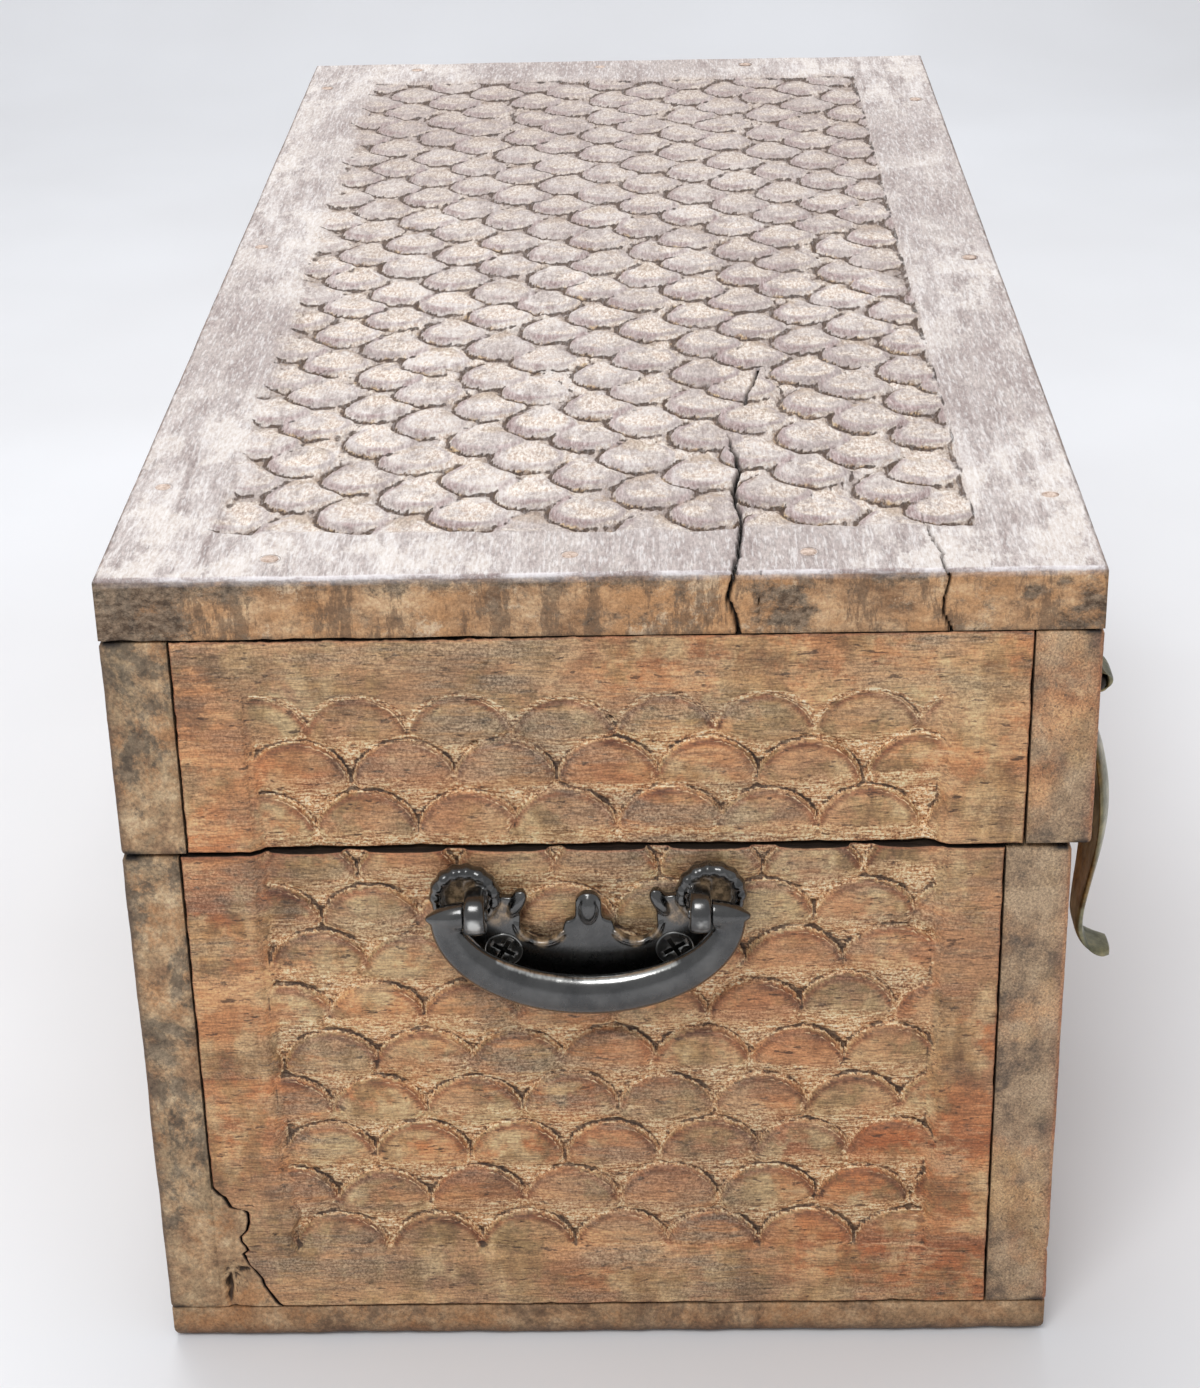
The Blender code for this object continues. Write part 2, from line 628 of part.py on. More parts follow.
def plate_outline():
    """Half of the handle's back plate, from the finial round to the middle of the lower edge."""
    ring = (RING_SIDE, RING_RISE)
    half = [(0.0, FINIAL_HEIGHT + FINIAL_RADIUS)]
    half += arc((0, FINIAL_HEIGHT), FINIAL_RADIUS, 50, 0, 1)
    half += SHOULDER
    half += arc(SCALLOP_PLACE, SCALLOP_RADIUS, 215, 360, 5)
    half += LEAF_POINT
    half += arc(ring, RING_RADIUS * RING_TUCK, 275, 300, 1)
    half += LOWER_EDGE
    return half


def hook_outline():
    """Side view of a hook that stands out of a ring and curls over the bail's pin."""
    out = PIVOT_OUT - SEAT
    inner = BAIL_PIN_RADIUS + FIT
    root = PLATE_THICK / 2
    outline = [(root, HOOK_RADIUS + HOOK_ROOT_RISE)]
    outline += arc((out, 0), HOOK_RADIUS, 90, -100, 6)
    outline += arc((out, 0), inner, -100, 180, 7)
    outline += [(out - inner, -HOOK_MOUTH), (root, -HOOK_MOUTH)]
    return outline


def make_handle(side, end_board):
    """A cast drop handle on one end: plate, screws and bail."""
    label = SIDE_NAMES[side] + "_handle"
    turn = 0.0 if side == RIGHT else math.pi
    place = Vector((side * (HALF_LENGTH + SEAT), HANDLE_SIDE, PIVOT_HEIGHT))
    half = plate_outline()
    outline = [(0, y, z) for y, z in half] + [(0, -y, z) for y, z in reversed(half) if y > 0]
    plate = part(label + "_plate", slab(outline, PLATE_THICK, (1, 0, 0)), "cast_iron", place, turn)
    rings, hooks = bmesh.new(), bmesh.new()
    profile = ((0, 0), (RING_RADIUS, 0), (RING_RADIUS, RING_HEIGHT - RING_CHAMFER), (RING_RIM, RING_HEIGHT),
               (RING_RIM - RING_WALL, RING_FLOOR), (0, RING_FLOOR))
    for hand in (-1, 1):
        ring = turned(profile, RING_SEGMENTS)
        ring_place = turned_to((1, 0, 0), (0, hand * RING_SIDE, RING_RISE))
        add_mesh(rings, ring, ring_place)
        hook = slab([(x, 0, z) for x, z in hook_outline()], HOOK_WIDTH, (0, 1, 0))
        add_mesh(hooks, hook, Matrix.Translation((0, hand * HOOK_SIDE - HOOK_WIDTH / 2, 0)))
    join(plate, tool(label + "_rings", rings, place, turn))
    join(plate, tool(label + "_hooks", hooks, place, turn))
    make_handle_screws(label, place, turn, plate, end_board)
    make_bail(label, side, turn)


def add_mesh(bm, other, matrix):
    """Put the shape of one bmesh into another, moved by a matrix."""
    bmesh.ops.recalc_face_normals(other, faces=other.faces[:])
    bmesh.ops.transform(other, matrix=matrix, verts=other.verts)
    mesh = bpy.data.meshes.new("moved")
    other.to_mesh(mesh)
    other.free()
    bm.from_mesh(mesh)
    bpy.data.meshes.remove(mesh)


def make_handle_screws(label, place, turn, plate, end_board):
    """Two countersunk screws through the plate into the end board."""
    holes = bmesh.new()
    z = -HANDLE_SCREW_DROP
    head, neck = PLATE_THICK, PLATE_THICK - HANDLE_SCREW_CONE
    tip = PLATE_THICK - HANDLE_SCREW_LENGTH
    for number, hand in enumerate((-1, 1), start=1):
        y = hand * HANDLE_SCREW_SIDE
        screw = bmesh.new()
        add_rod(screw, (neck, y, z), (head, y, z), HANDLE_SCREW_SHANK, HANDLE_SCREW_SIDES,
                HANDLE_SCREW_HEAD)
        add_rod(screw, (tip, y, z), (neck, y, z), HANDLE_SCREW_SHANK, HANDLE_SCREW_SIDES)
        weld_rods(screw)
        part(label + "_screw_" + str(number), screw, "steel_screw", place, turn)
        add_rod(holes, (neck, y, z), (head + FIT, y, z), HANDLE_SCREW_SHANK + FIT, HANDLE_SCREW_SIDES,
                HANDLE_SCREW_HEAD + 2 * FIT)
        add_rod(holes, (tip - FIT, y, z), (neck, y, z), HANDLE_SCREW_SHANK + FIT, HANDLE_SCREW_SIDES)
    weld_rods(holes)
    cutter = tool(label + "_screw_holes", holes, place, turn)
    cut(plate, cutter)
    cut(end_board, cutter)


def bail_line(share):
    """Middle line of the grip and its radius, for a share from -1 at one end to 1 at the other."""
    angle = share * math.pi / 2
    power = 2 / BAIL_SQUARENESS
    side = math.copysign(abs(math.sin(angle)) ** power, share) * BAIL_HALF_WIDTH
    drop = max(0.0, math.cos(angle)) ** power * BAIL_SAG
    swell = max(0.0, math.cos(angle)) ** BAIL_SWELL
    radius = BAIL_NECK_RADIUS + (BAIL_GRIP_RADIUS - BAIL_NECK_RADIUS) * swell
    return side, -drop, radius


def make_bail(label, side, turn):
    """The crescent grip, hung on two pins that point inwards under the hooks."""
    place = Vector((side * (HALF_LENGTH + PIVOT_OUT), HANDLE_SIDE, PIVOT_HEIGHT))
    line = [bail_line(2 * index / BAIL_STEPS - 1) for index in range(BAIL_STEPS + 1)]
    bm = wire_shape(label + "_grip", [(0, y, z) for y, z, radius in line], [radius for y, z, radius in line])
    bmesh.ops.scale(bm, vec=(BAIL_FLATNESS, 1, 1), verts=bm.verts)
    bail = part(label + "_bail", bm, "cast_iron", place, turn)
    ends, pins = bmesh.new(), bmesh.new()
    for hand in (-1, 1):
        inner, outer = hand * BAIL_END_INNER, hand * BAIL_END_OUTER
        add_rod(ends, (0, inner, 0), (0, outer, 0), BAIL_END_RADIUS, PIN_SIDES, BAIL_TIP_RADIUS)
        add_rod(pins, (0, hand * BAIL_PIN_INNER, 0), (0, hand * BAIL_HALF_WIDTH, 0), BAIL_PIN_RADIUS, PIN_SIDES)
    join(bail, tool(label + "_ends", ends, place, turn))
    join(bail, tool(label + "_pins", pins, place, turn))
    smooth(bail, 50)


def wire_shape(name, points, radii):
    """A round bar along points, with a radius at each, as a closed bmesh."""
    curve = bpy.data.curves.new(name, "CURVE")
    curve.dimensions = "3D"
    curve.bevel_depth = 1.0
    curve.bevel_resolution = 2
    curve.use_fill_caps = True
    spline = curve.splines.new("POLY")
    spline.points.add(len(points) - 1)
    for target, point, radius in zip(spline.points, points, radii):
        target.co = (*point, 1)
        target.radius = radius
    obj = bpy.data.objects.new(name, curve)
    PARTS.objects.link(obj)
    bpy.context.view_layer.update()
    mesh = bpy.data.meshes.new_from_object(obj.evaluated_get(bpy.context.evaluated_depsgraph_get()))
    bpy.data.objects.remove(obj)
    bm = bmesh.new()
    bm.from_mesh(mesh)
    bpy.data.meshes.remove(mesh)
    bmesh.ops.remove_doubles(bm, verts=bm.verts[:], dist=1e-6)
    return bm


def hasp_path():
    """Middle line of a hasp strap, from the rolled eye down to the curled tip.

    Points are out from the lid's front, height above the staple's bar and half width.
    """
    roll = STAPLE_WIRE + FIT + STRAP_THICK / 2
    eye = arc((STAPLE_OUT, 0), roll, -95, 215, 9)
    points = [(out, rise, STRAP_EYE_WIDTH / 2) for out, rise in eye]
    return points + [(out, -drop, half_width) for out, drop, half_width in LEAF_STATIONS]


def make_hasp(side, rail, front_board):
    """A brass leaf hung on an iron staple, and the stud that it closes over."""
    label = SIDE_NAMES[side]
    pivot = Vector((side * (HALF_LENGTH - HASP_INSET), LID_FRONT - STAPLE_OUT, STAPLE_HEIGHT))
    widest = max(half_width for out, drop, half_width in LEAF_STATIONS)
    shares = (-1.0, -0.5, 0.5, 1.0)
    bm = bmesh.new()
    rows = []
    for out, rise, half_width in hasp_path():
        crown = STRAP_CROWN * max(0.0, 2 * half_width / widest - 1)
        row = []
        for share in shares:
            bulge = crown * (1 - share ** 2) - crown / 2
            row.append(bm.verts.new((share * half_width, STAPLE_OUT - out - bulge, rise)))
        rows.append(row)
    for upper, lower in zip(rows, rows[1:]):
        for corners in zip(upper, upper[1:], lower[1:], lower):
            bm.faces.new(corners)
    strap = part(label + "_hasp_strap", bm, "old_brass", pivot)
    thickness = strap.modifiers.new("thickness", "SOLIDIFY")
    thickness.thickness = STRAP_THICK
    thickness.offset = 0.0
    thickness.use_even_offset = True
    smooth(strap, 50)
    make_staple(label, pivot, rail)
    make_stud(label, pivot, front_board)


def make_staple(label, pivot, rail):
    """A squared loop of iron wire: in the wood, out, across and back in."""
    name = label + "_hasp_staple"
    width, bend = STAPLE_HALF_WIDTH, STAPLE_BEND
    half = [(width, STAPLE_OUT + STAPLE_DEPTH)]
    half += [(width - bend + bend * math.cos(turn), bend - bend * math.sin(turn))
             for turn in (0, math.pi / 4, math.pi / 2)]
    points = [(x, y, 0) for x, y in half] + [(-x, y, 0) for x, y in reversed(half)]
    part(name, wire_shape(name + "_wire", points, [STAPLE_WIRE] * len(points)), "dark_iron", pivot)
    holes = bmesh.new()
    for x in (-width, width):
        add_rod(holes, (x, STAPLE_OUT - POCKET, 0), (x, STAPLE_OUT + STAPLE_DEPTH + FIT, 0),
                STAPLE_WIRE + FIT, PIN_SIDES)
    cut(rail, tool(name + "_holes", holes, pivot))


def make_stud(label, pivot, front_board):
    """A low mushroom stud on the body, under the leaf."""
    place = Vector((pivot.x, BODY_FRONT, pivot.z - STUD_DROP))
    profile = ((0, -STUD_SHANK_DEPTH), (STUD_SHANK_RADIUS, -STUD_SHANK_DEPTH), (STUD_SHANK_RADIUS, SEAT),
               (STUD_HEAD_RADIUS, SEAT), (STUD_HEAD_RADIUS, STUD_EDGE_PROUD),
               (STUD_CROWN_RADIUS, STUD_CROWN_PROUD), (0, STUD_PROUD))
    stud = turned(profile, STUD_SIDES)
    bmesh.ops.transform(stud, matrix=turned_to((0, -1, 0), (0, 0, 0)), verts=stud.verts)
    part(label + "_catch_stud", stud, "old_brass", place)
    hole = bmesh.new()
    add_rod(hole, (0, -POCKET, 0), (0, STUD_SHANK_DEPTH + FIT, 0), STUD_SHANK_RADIUS + FIT, STUD_SIDES)
    cut(front_board, tool(label + "_stud_hole", hole, place))


clear_scene()
PARTS = new_collection("storage_chest")
TOOLS = new_collection("cutters")
chest_boards = make_boards()
carve_boards(chest_boards)
make_pegs(chest_boards)
make_hinges(chest_boards)
for end in (LEFT, RIGHT):
    make_handle(end, chest_boards[SIDE_NAMES[end] + "_end_board"])
    make_hasp(end, chest_boards["lid_front_rail"], chest_boards["front_board"])
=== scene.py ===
"""Looks of a small wooden storage chest: carved fish scales, iron drop handles, brass hasps.

X runs along the chest, the front faces -Y and Z points up. The left end, at -X, faces the camera.
All sizes are in metres.
"""
import json
import math

import bmesh
import bpy
import numpy as np
from mathutils import Matrix, Vector

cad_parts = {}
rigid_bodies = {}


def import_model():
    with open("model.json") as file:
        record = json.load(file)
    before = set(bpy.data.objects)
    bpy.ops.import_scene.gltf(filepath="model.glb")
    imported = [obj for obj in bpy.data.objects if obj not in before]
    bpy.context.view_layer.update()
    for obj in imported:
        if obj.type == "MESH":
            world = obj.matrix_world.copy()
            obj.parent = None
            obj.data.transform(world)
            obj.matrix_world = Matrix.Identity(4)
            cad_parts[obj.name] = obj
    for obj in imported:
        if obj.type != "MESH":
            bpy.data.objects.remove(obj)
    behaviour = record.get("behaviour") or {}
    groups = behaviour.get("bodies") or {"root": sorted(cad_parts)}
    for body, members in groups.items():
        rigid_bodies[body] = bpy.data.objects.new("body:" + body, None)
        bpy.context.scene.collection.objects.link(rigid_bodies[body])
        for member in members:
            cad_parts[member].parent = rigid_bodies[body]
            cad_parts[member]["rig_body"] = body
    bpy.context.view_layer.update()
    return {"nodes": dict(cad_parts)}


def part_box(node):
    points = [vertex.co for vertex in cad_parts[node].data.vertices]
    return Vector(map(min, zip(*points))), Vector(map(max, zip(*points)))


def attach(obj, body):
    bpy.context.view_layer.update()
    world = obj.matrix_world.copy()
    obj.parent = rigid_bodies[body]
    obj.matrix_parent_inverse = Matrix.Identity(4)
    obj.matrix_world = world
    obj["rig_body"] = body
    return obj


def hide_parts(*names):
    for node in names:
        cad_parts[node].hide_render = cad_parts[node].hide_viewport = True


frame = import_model()

MM = 0.001
HALF_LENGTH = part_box("lid_top_board")[1].x
LID_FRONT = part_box("lid_top_board")[0].y
LID_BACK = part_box("lid_top_board")[1].y
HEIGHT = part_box("lid_top_board")[1].z
BODY_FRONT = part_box("front_board")[0].y

SCALE_SINK = 0.3 * MM          # tips lie this far below the board's face
END_RADIUS = 12.1 * MM
TOP_RADIUS = 9.2 * MM
DROP_LENGTH = 24.5 * MM        # a scale of the top, from its tip to its point
FIELD_LOW, FIELD_HIGH = FIELD_RISE = (26 * MM, 185 * MM)
END_FIELD = (-80 * MM, 83 * MM)
FRONT_FIELD = (-0.213, 0.213)
FACE_REACH = 4 * MM            # the relief and marks of a face die away over this depth
JOINT_SHADE = 7 * MM           # the dark of a joint ends at this depth
CRACK_IN, CRACK_DEEP = 3.5 * MM, 4 * MM
SIDES = ("u0", "u1", "v0", "v1")

# Rows of scales on the left end: height of the tips, place of the first scale, pitch, in mm
LEFT_END_ROWS = (
    (184.2, 80.2, 23.7), (172.3, 71.4, 24.1), (159.2, 80.4, 23.9), (147.3, 71.6, 24.2),
    (133.9, 81.0, 23.8), (121.0, 70.4, 23.2), (106.2, 79.6, 23.0), (92.6, 69.0, 23.1),
    (79.0, 81.0, 23.6), (65.5, 70.6, 23.6), (51.8, 81.9, 24.1), (37.8, 69.0, 23.7),
)


def smoothstep(low, high, value):
    share = np.clip((value - low) / (high - low), 0, 1)
    return share * share * (3 - 2 * share)


def bumps(x, y, seed):
    """Smooth random field from -1 to 1 whose bumps are one unit across."""
    table = np.random.default_rng(seed).uniform(-1, 1, (97, 101))
    x, y = np.broadcast_arrays(np.asarray(x, float), np.asarray(y, float))
    column, line = np.floor(x).astype(int), np.floor(y).astype(int)
    right, up = x - column, y - line
    right, up = right * right * (3 - 2 * right), up * up * (3 - 2 * up)

    def corner(i, j):
        return table[(column + i) % 97, (line + j) % 101]

    low = corner(0, 0) * (1 - right) + corner(1, 0) * right
    high = corner(0, 1) * (1 - right) + corner(1, 1) * right
    return low * (1 - up) + high * up


def roughness(x, y, seed, octaves=4):
    """Random field from about -1 to 1 with ever finer detail."""
    total = 0
    for octave in range(octaves):
        total = total + bumps(x * 2 ** octave, y * 2 ** octave, seed + octave) * 0.55 ** octave
    return total * 0.62


def rough_at(x, y, wide, high, seed, octaves):
    """Roughness whose largest bumps are wide by high, in mm."""
    return roughness(x / (wide * MM), y / (high * MM), seed, octaves)


def blurred(values, reach):
    """Running mean over a square of grid points."""
    for axis in (0, 1):
        padded = np.concatenate([np.repeat(np.take(values, [0], axis), reach + 1, axis), values,
                                 np.repeat(np.take(values, [-1], axis), reach, axis)], axis)
        sums = np.cumsum(padded, axis)
        size = values.shape[axis]
        window = 2 * reach + 1
        values = (np.take(sums, range(window, window + size), axis)
                  - np.take(sums, range(size), axis)) / window
    return values


def spaced(low, high, step, end_step=None):
    """Places from low to high, with the step changing evenly towards end_step."""
    end_step = end_step or step
    places = [low]
    while places[-1] < high:
        share = (places[-1] - low) / (high - low)
        places.append(places[-1] + step + (end_step - step) * share)
    places = np.array(places)
    return low + (places - low) * (high - low) / (places[-1] - low)


def grow_ring(bm, rim, step):
    """Pull a new ring out of an open rim, one step along Z, and give its new rim."""
    grown = bmesh.ops.extrude_edge_only(bm, edges=rim)["geom"]
    verts = [item for item in grown if isinstance(item, bmesh.types.BMVert)]
    bmesh.ops.translate(bm, vec=(0, 0, step), verts=verts)
    return [item for item in grown if isinstance(item, bmesh.types.BMEdge) and item.is_boundary]


def index_sheet(columns, lines, rings):
    """A closed block in index units: a grid at 0 whose rim is pulled down one unit per ring."""
    bm = bmesh.new()
    bmesh.ops.create_grid(bm, x_segments=columns - 1, y_segments=lines - 1, size=0.5)
    bmesh.ops.translate(bm, vec=(0.5, 0.5, 0), verts=bm.verts)
    bmesh.ops.scale(bm, vec=(columns - 1, lines - 1, 1), verts=bm.verts)
    rim = [edge for edge in bm.edges if edge.is_boundary]
    for _ in range(rings):
        rim = grow_ring(bm, rim, -1)
    bmesh.ops.edgeloop_fill(bm, edges=rim)
    return bm


def places_of(mesh):
    """The places of a mesh's points, one row each."""
    places = np.empty(len(mesh.vertices) * 3)
    mesh.vertices.foreach_get("co", places)
    return places.reshape(-1, 3)


def set_mark(mesh, mark, values):
    """Give each point a value that the finish reads."""
    data = mesh.attributes.new(mark, "FLOAT", "POINT").data
    data.foreach_set("value", values.astype(np.float32))


def linked(name, mesh):
    """A mesh, lamp or camera set into the scene."""
    piece = bpy.data.objects.new(name, mesh)
    bpy.context.scene.collection.objects.link(piece)
    return piece


class Face:
    """Where a board's main face lies: place = origin + u * across + v * along + h * out."""

    def __init__(self, origin, across, along, out):
        self.origin, self.across, self.along, self.out = (
            np.array(axis, float) for axis in (origin, across, along, out))


LEFT_FACE = Face((-HALF_LENGTH, 0, 0), (0, 1, 0), (0, 0, 1), (-1, 0, 0))
RIGHT_FACE = Face((HALF_LENGTH, 0, 0), (0, -1, 0), (0, 0, 1), (1, 0, 0))
TOP_FACE = Face((0, 0, HEIGHT), (0, 1, 0), (-1, 0, 0), (0, 0, 1))
FRONT_FACE = Face((0, BODY_FRONT, 0), (1, 0, 0), (0, 0, 1), (0, -1, 0))
LID_FRONT_FACE = Face((0, LID_FRONT, 0), (1, 0, 0), (0, 0, 1), (0, -1, 0))
BACK_FACE = Face((0, LID_BACK, 0), (-1, 0, 0), (0, 0, 1), (0, 1, 0))
BOTTOM_FACE = Face((0, 0, 0), (1, 0, 0), (0, 1, 0), (0, 0, -1))


def board_piece(name, node, face, u, v, thick, surface, finish, arris=0.5 * MM, side_step=2 * MM,
                waves=None, butt_sides=(), foot=None, cracks=None, dirt=None, finer=(), joints=()):
    """A board whose main face follows a surface, with softened arrises and closed sides.

    u and v give the face's low and high limit and its step. surface gives the height over the
    face and the marks that the finish reads. waves maps a side (u0, u1, v0, v1) to how far it
    swells outwards at each place along it. A butt side has no arris. foot raises the lower rim.
    cracks gives the share of an open crack at a place, whose inside the finish paints near-black
    as shade, dirt the grime on the sides, and finer the stretches of u, as (low, high, parts),
    whose grid is parted further. joints are the sides that face another board, where the wood next
    to the face is painted dark: shade painted into the gap, with the dark of the joint. The sides
    at the low and high limit of u are marked as flanks.
    """
    trim = {side: 0.0 if side in butt_sides else arris for side in SIDES}
    u = spaced(u[0] + trim["u0"], u[1] - trim["u1"], *u[2:])
    v = spaced(v[0] + trim["v0"], v[1] - trim["v1"], *v[2:])
    for low, high, parts in finer:
        between = [a + (b - a) * k / parts
                   for a, b in zip(u, u[1:]) if low < a < high for k in range(1, parts)]
        u = np.sort(np.concatenate([u, between]))
    u, v = (np.sort(np.append(places, (places[0] + 0.2 * MM, places[-1] - 0.2 * MM)))
            for places in (u, v))
    end = v[-1] + trim["v1"]
    lift, marks = surface(u, v)
    turns = (0.35, 0.7, 1.0) if arris < 1.2 * MM else (0.22, 0.42, 0.62, 0.82, 1.0)
    rings = [(0.0, 0.0)]
    rings += [(arris * math.sin(t * math.pi / 2), arris * (1 - math.cos(t * math.pi / 2)))
              for t in turns]
    steps = max(2, round((thick - arris) / side_step))
    rings += [(arris, arris + (thick - arris) * k / steps) for k in range(1, steps + 1)]
    outset, depth = np.array(rings).T
    bm = index_sheet(len(u), len(v), len(rings) - 1)
    mesh = bpy.data.meshes.new(name)
    bm.to_mesh(mesh)
    bm.free()
    iu, iv, ring = (np.rint(places_of(mesh)).astype(int) * (1, 1, -1)).T
    at = {"u0": iu == 0, "u1": iu == len(u) - 1, "v0": iv == 0, "v1": iv == len(v) - 1}
    grow = {side: at[side] * (trim[side] > 0) * 1.0 for side in SIDES}
    uu = u[iu] + outset[ring] * (grow["u1"] - grow["u0"])
    vv = v[iv] + outset[ring] * (grow["v1"] - grow["v0"])
    for side, wave in (waves or {}).items():
        along_u = side[0] == "u"
        near, other, limits = (uu, vv, u) if along_u else (vv, uu, v)
        gap = near - limits[0] if side[1] == "0" else limits[-1] - near
        swell = wave(other)
        reach = np.clip(3 * np.abs(swell), 6 * MM, limits[-1] - limits[0])
        share = np.clip(1 - gap / reach, 0, 1)
        share = np.where(3 * np.abs(swell) < limits[-1] - limits[0],
                         share * share * (3 - 2 * share), share)
        shift = swell * share * (1 if side[1] == "1" else -1)
        if along_u:
            uu = uu + shift
        else:
            vv = vv + shift
    fade = smoothstep(FACE_REACH, 0, depth[ring])
    drop = depth[ring]
    if foot:
        drop = drop - foot(uu, vv) * smoothstep(thick * 0.4, thick, drop)
    if cracks:
        open_share = cracks(uu, end - vv, depth[ring])
        vv = vv - CRACK_IN * open_share * (depth[ring] > 0) * smoothstep(1 * MM, 0, end - vv)
        drop = drop + CRACK_DEEP * open_share * (depth[ring] < 1.0 * MM)
    height = lift[iv, iu] * fade - drop
    place = (face.origin + uu[:, None] * face.across + vv[:, None] * face.along
             + height[:, None] * face.out)
    mesh.vertices.foreach_set("co", place.astype(np.float32).ravel())
    found = {mark: values[iv, iu] * fade for mark, values in marks.items()}
    found["side"] = smoothstep(0.4 * arris, arris, depth[ring])
    found["arris"] = (ring > 0) * smoothstep(arris * 1.6, arris * 0.3, depth[ring])
    found["flank"] = (at["u0"] | at["u1"]) * 1.0
    # The crack mark: where the finish paints a crack's inside near-black, as painted shade.
    if cracks:
        found["crack"] = np.clip(open_share * 1.8, 0, 1)
    if dirt:
        near_end = smoothstep(4.5 * MM, 0, end - vv)
        found["grime"] = np.maximum(found["grime"], dirt(uu, depth[ring]) * (ring > 0) * near_end)
    # The joint mark: where the finish paints the wood dark, as shade in the gap between boards.
    found["joint"] = (found["side"] * np.any([at[side] for side in joints] or [iu < 0], axis=0)
                      * smoothstep(JOINT_SHADE, JOINT_SHADE / 2, depth[ring]))
    for mark, values in found.items():
        set_mark(mesh, mark, values)
    smooth = np.ones(len(mesh.polygons), bool)
    smooth[-1] = False
    mesh.polygons.foreach_set("use_smooth", smooth)
    piece = linked(name, mesh)
    face_outwards(piece)
    dress(piece, finish, node)


def whole_board(node, ending, face, steps, surface, finish, **more):
    """A board that fills its node's box; steps are those of its grid across and along, in mm."""
    corners = np.array([list(corner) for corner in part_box(node)])
    u, v, w = (np.sort(corners @ axis) for axis in (face.across, face.along, face.out))
    board_piece(node + ending, node, face, (*u, steps[0] * MM), (*v, steps[1] * MM), w[1] - w[0],
                surface, finish, **more)


def face_outwards(piece):
    bm = bmesh.new()
    bm.from_mesh(piece.data)
    bmesh.ops.recalc_face_normals(bm, faces=bm.faces)
    bm.to_mesh(piece.data)
    bm.free()


def dress(piece, finish, *nodes):
    """Give a piece its finish and let it stand for its nodes, on their body."""
    piece.data.materials.clear()
    piece.data.materials.append(FINISHES[finish])
    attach(piece, frame["nodes"][nodes[0]]["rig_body"])
    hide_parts(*nodes)


def scale_list(rows, low, high, radius, seed, jitter=1.0):
    """Scales as (middle, tip, radius, tone, tilt), the row with the highest tips first."""
    rng = np.random.default_rng(seed)
    found = []
    for tip, first, pitch in np.array(rows) * MM:
        for number in range(-1, int((first - low) / pitch) + 2):
            middle = first - number * pitch
            if low - pitch < middle < high + pitch:
                found.append((middle + rng.normal(0, 0.5 * MM) * jitter,
                              tip + rng.normal(0, 0.45 * MM) * jitter,
                              radius * (1 + rng.normal(0, 0.025)),
                              rng.uniform(-1, 1), rng.normal(0, 0.022)))
    return found


def carve_scales(u, v, scales, ground, seed, edge, reach=30 * MM, torn=0.7, slope=0.11, length=None,
                 fade=(0.75, 1.15), bias=0, soft=0.0, dome=0.0, dig=0.0, roll=0.6 * MM,
                 shade_side=0.15):
    """Lay the scales over a ground, each row over the one above it.

    edge is half the width of a scale's cut, slope its fall from the tip, roll its rounded rim,
    dome its crown, dig the cut round it and torn the drop of its ragged end in mm; fade is where
    that end starts and stops, in radii. length makes the scales drop-shaped. bias is the side (1
    or -1) whose flank is cut crisp and deep, soft is how crisp the other one is.
    """
    height = ground.copy()
    inside = np.full(height.shape, 9 * MM)
    fall, tone, halo, lean = (np.zeros(height.shape) for _ in range(4))
    ragged = rough_at(u[None, :], v[:, None], 1.1, 1.1, seed, 3) * 0.22 * MM
    for middle, tip, radius, shade, tilt in scales:
        pad = 4 * MM
        columns = slice(*np.searchsorted(u, (middle - radius - pad, middle + radius + pad)))
        lines = slice(*np.searchsorted(v, (tip - reach, tip + pad)))
        across = u[columns][None, :] - middle
        below = tip - v[lines][:, None]
        distance = np.where(below < radius, np.hypot(across, radius - below), np.abs(across))
        if length:
            narrow = np.clip((below - radius) / (length - radius), 0, 1.3) ** 1.7
            distance = distance + radius * narrow * 0.9
        into = radius - distance + ragged[lines, columns]
        deep = np.maximum(into, 0)
        crisp = np.ones(into.shape)
        if bias:
            crisp = soft + (1 - soft) * smoothstep(-0.55, 0.35, bias * across / radius)
        upper = smoothstep(fade[1] * radius, fade[0] * radius, below)
        surface = (-SCALE_SINK - slope * below + tilt * across - dome * (across / radius) ** 2
                   - dome * max(shade, 0) * np.abs(across - 0.2 * radius) / radius
                   - roll * upper * np.exp(-(deep / (1.9 * MM)) ** 2)
                   - torn * MM * smoothstep(fade[0] * radius + 0.4 * MM,
                                            fade[1] * radius + 3 * MM, below))
        blend = edge + 2.2 * MM * (1 - upper) + (1 - crisp) * dig * 1.2
        cover = smoothstep(-blend, blend, into)
        outside = (np.exp(-(np.minimum(into, 0) / (1.8 * MM)) ** 2) * upper
                   * (1 - shade_side + shade_side * crisp))
        halo[lines, columns] = np.maximum(halo[lines, columns], outside)
        height[lines, columns] -= dig * outside * crisp
        rolled = deep + 9 * MM * (1 - upper)
        for sheet, value in ((height, surface), (inside, rolled), (fall, below), (tone, shade),
                             (halo, 0.0), (lean, crisp)):
            sheet[lines, columns] = sheet[lines, columns] * (1 - cover) + value * cover
    return height, inside, fall, tone, halo, lean


def tool_marks(u, v, seed, along_u=True):
    """Fine ridges along the grain and a slow unevenness."""
    run, cross = (u[None, :], v[:, None]) if along_u else (v[:, None], u[None, :])
    return (rough_at(run, cross, 14, 0.9, seed, 2) * 0.06 * MM
            + rough_at(u[None, :], v[:, None], 22, 22, seed + 9, 3) * 0.22 * MM)


def groove(distance, width, depth):
    """A rounded groove along a line, its width and depth in mm."""
    return -depth * MM * np.exp(-(distance / (width * MM)) ** 2)


def share_between(place, limits, low_edge, high_edge, wander):
    """1 between two limits. An edge is (outer end, inner end, unevenness) in mm off its limit."""
    share = 1.0
    for limit, (outer, inner, uneven) in zip(limits, (low_edge, high_edge)):
        share = share * smoothstep(limit + outer * MM, limit + inner * MM,
                                   place + uneven * MM * wander)
    return share


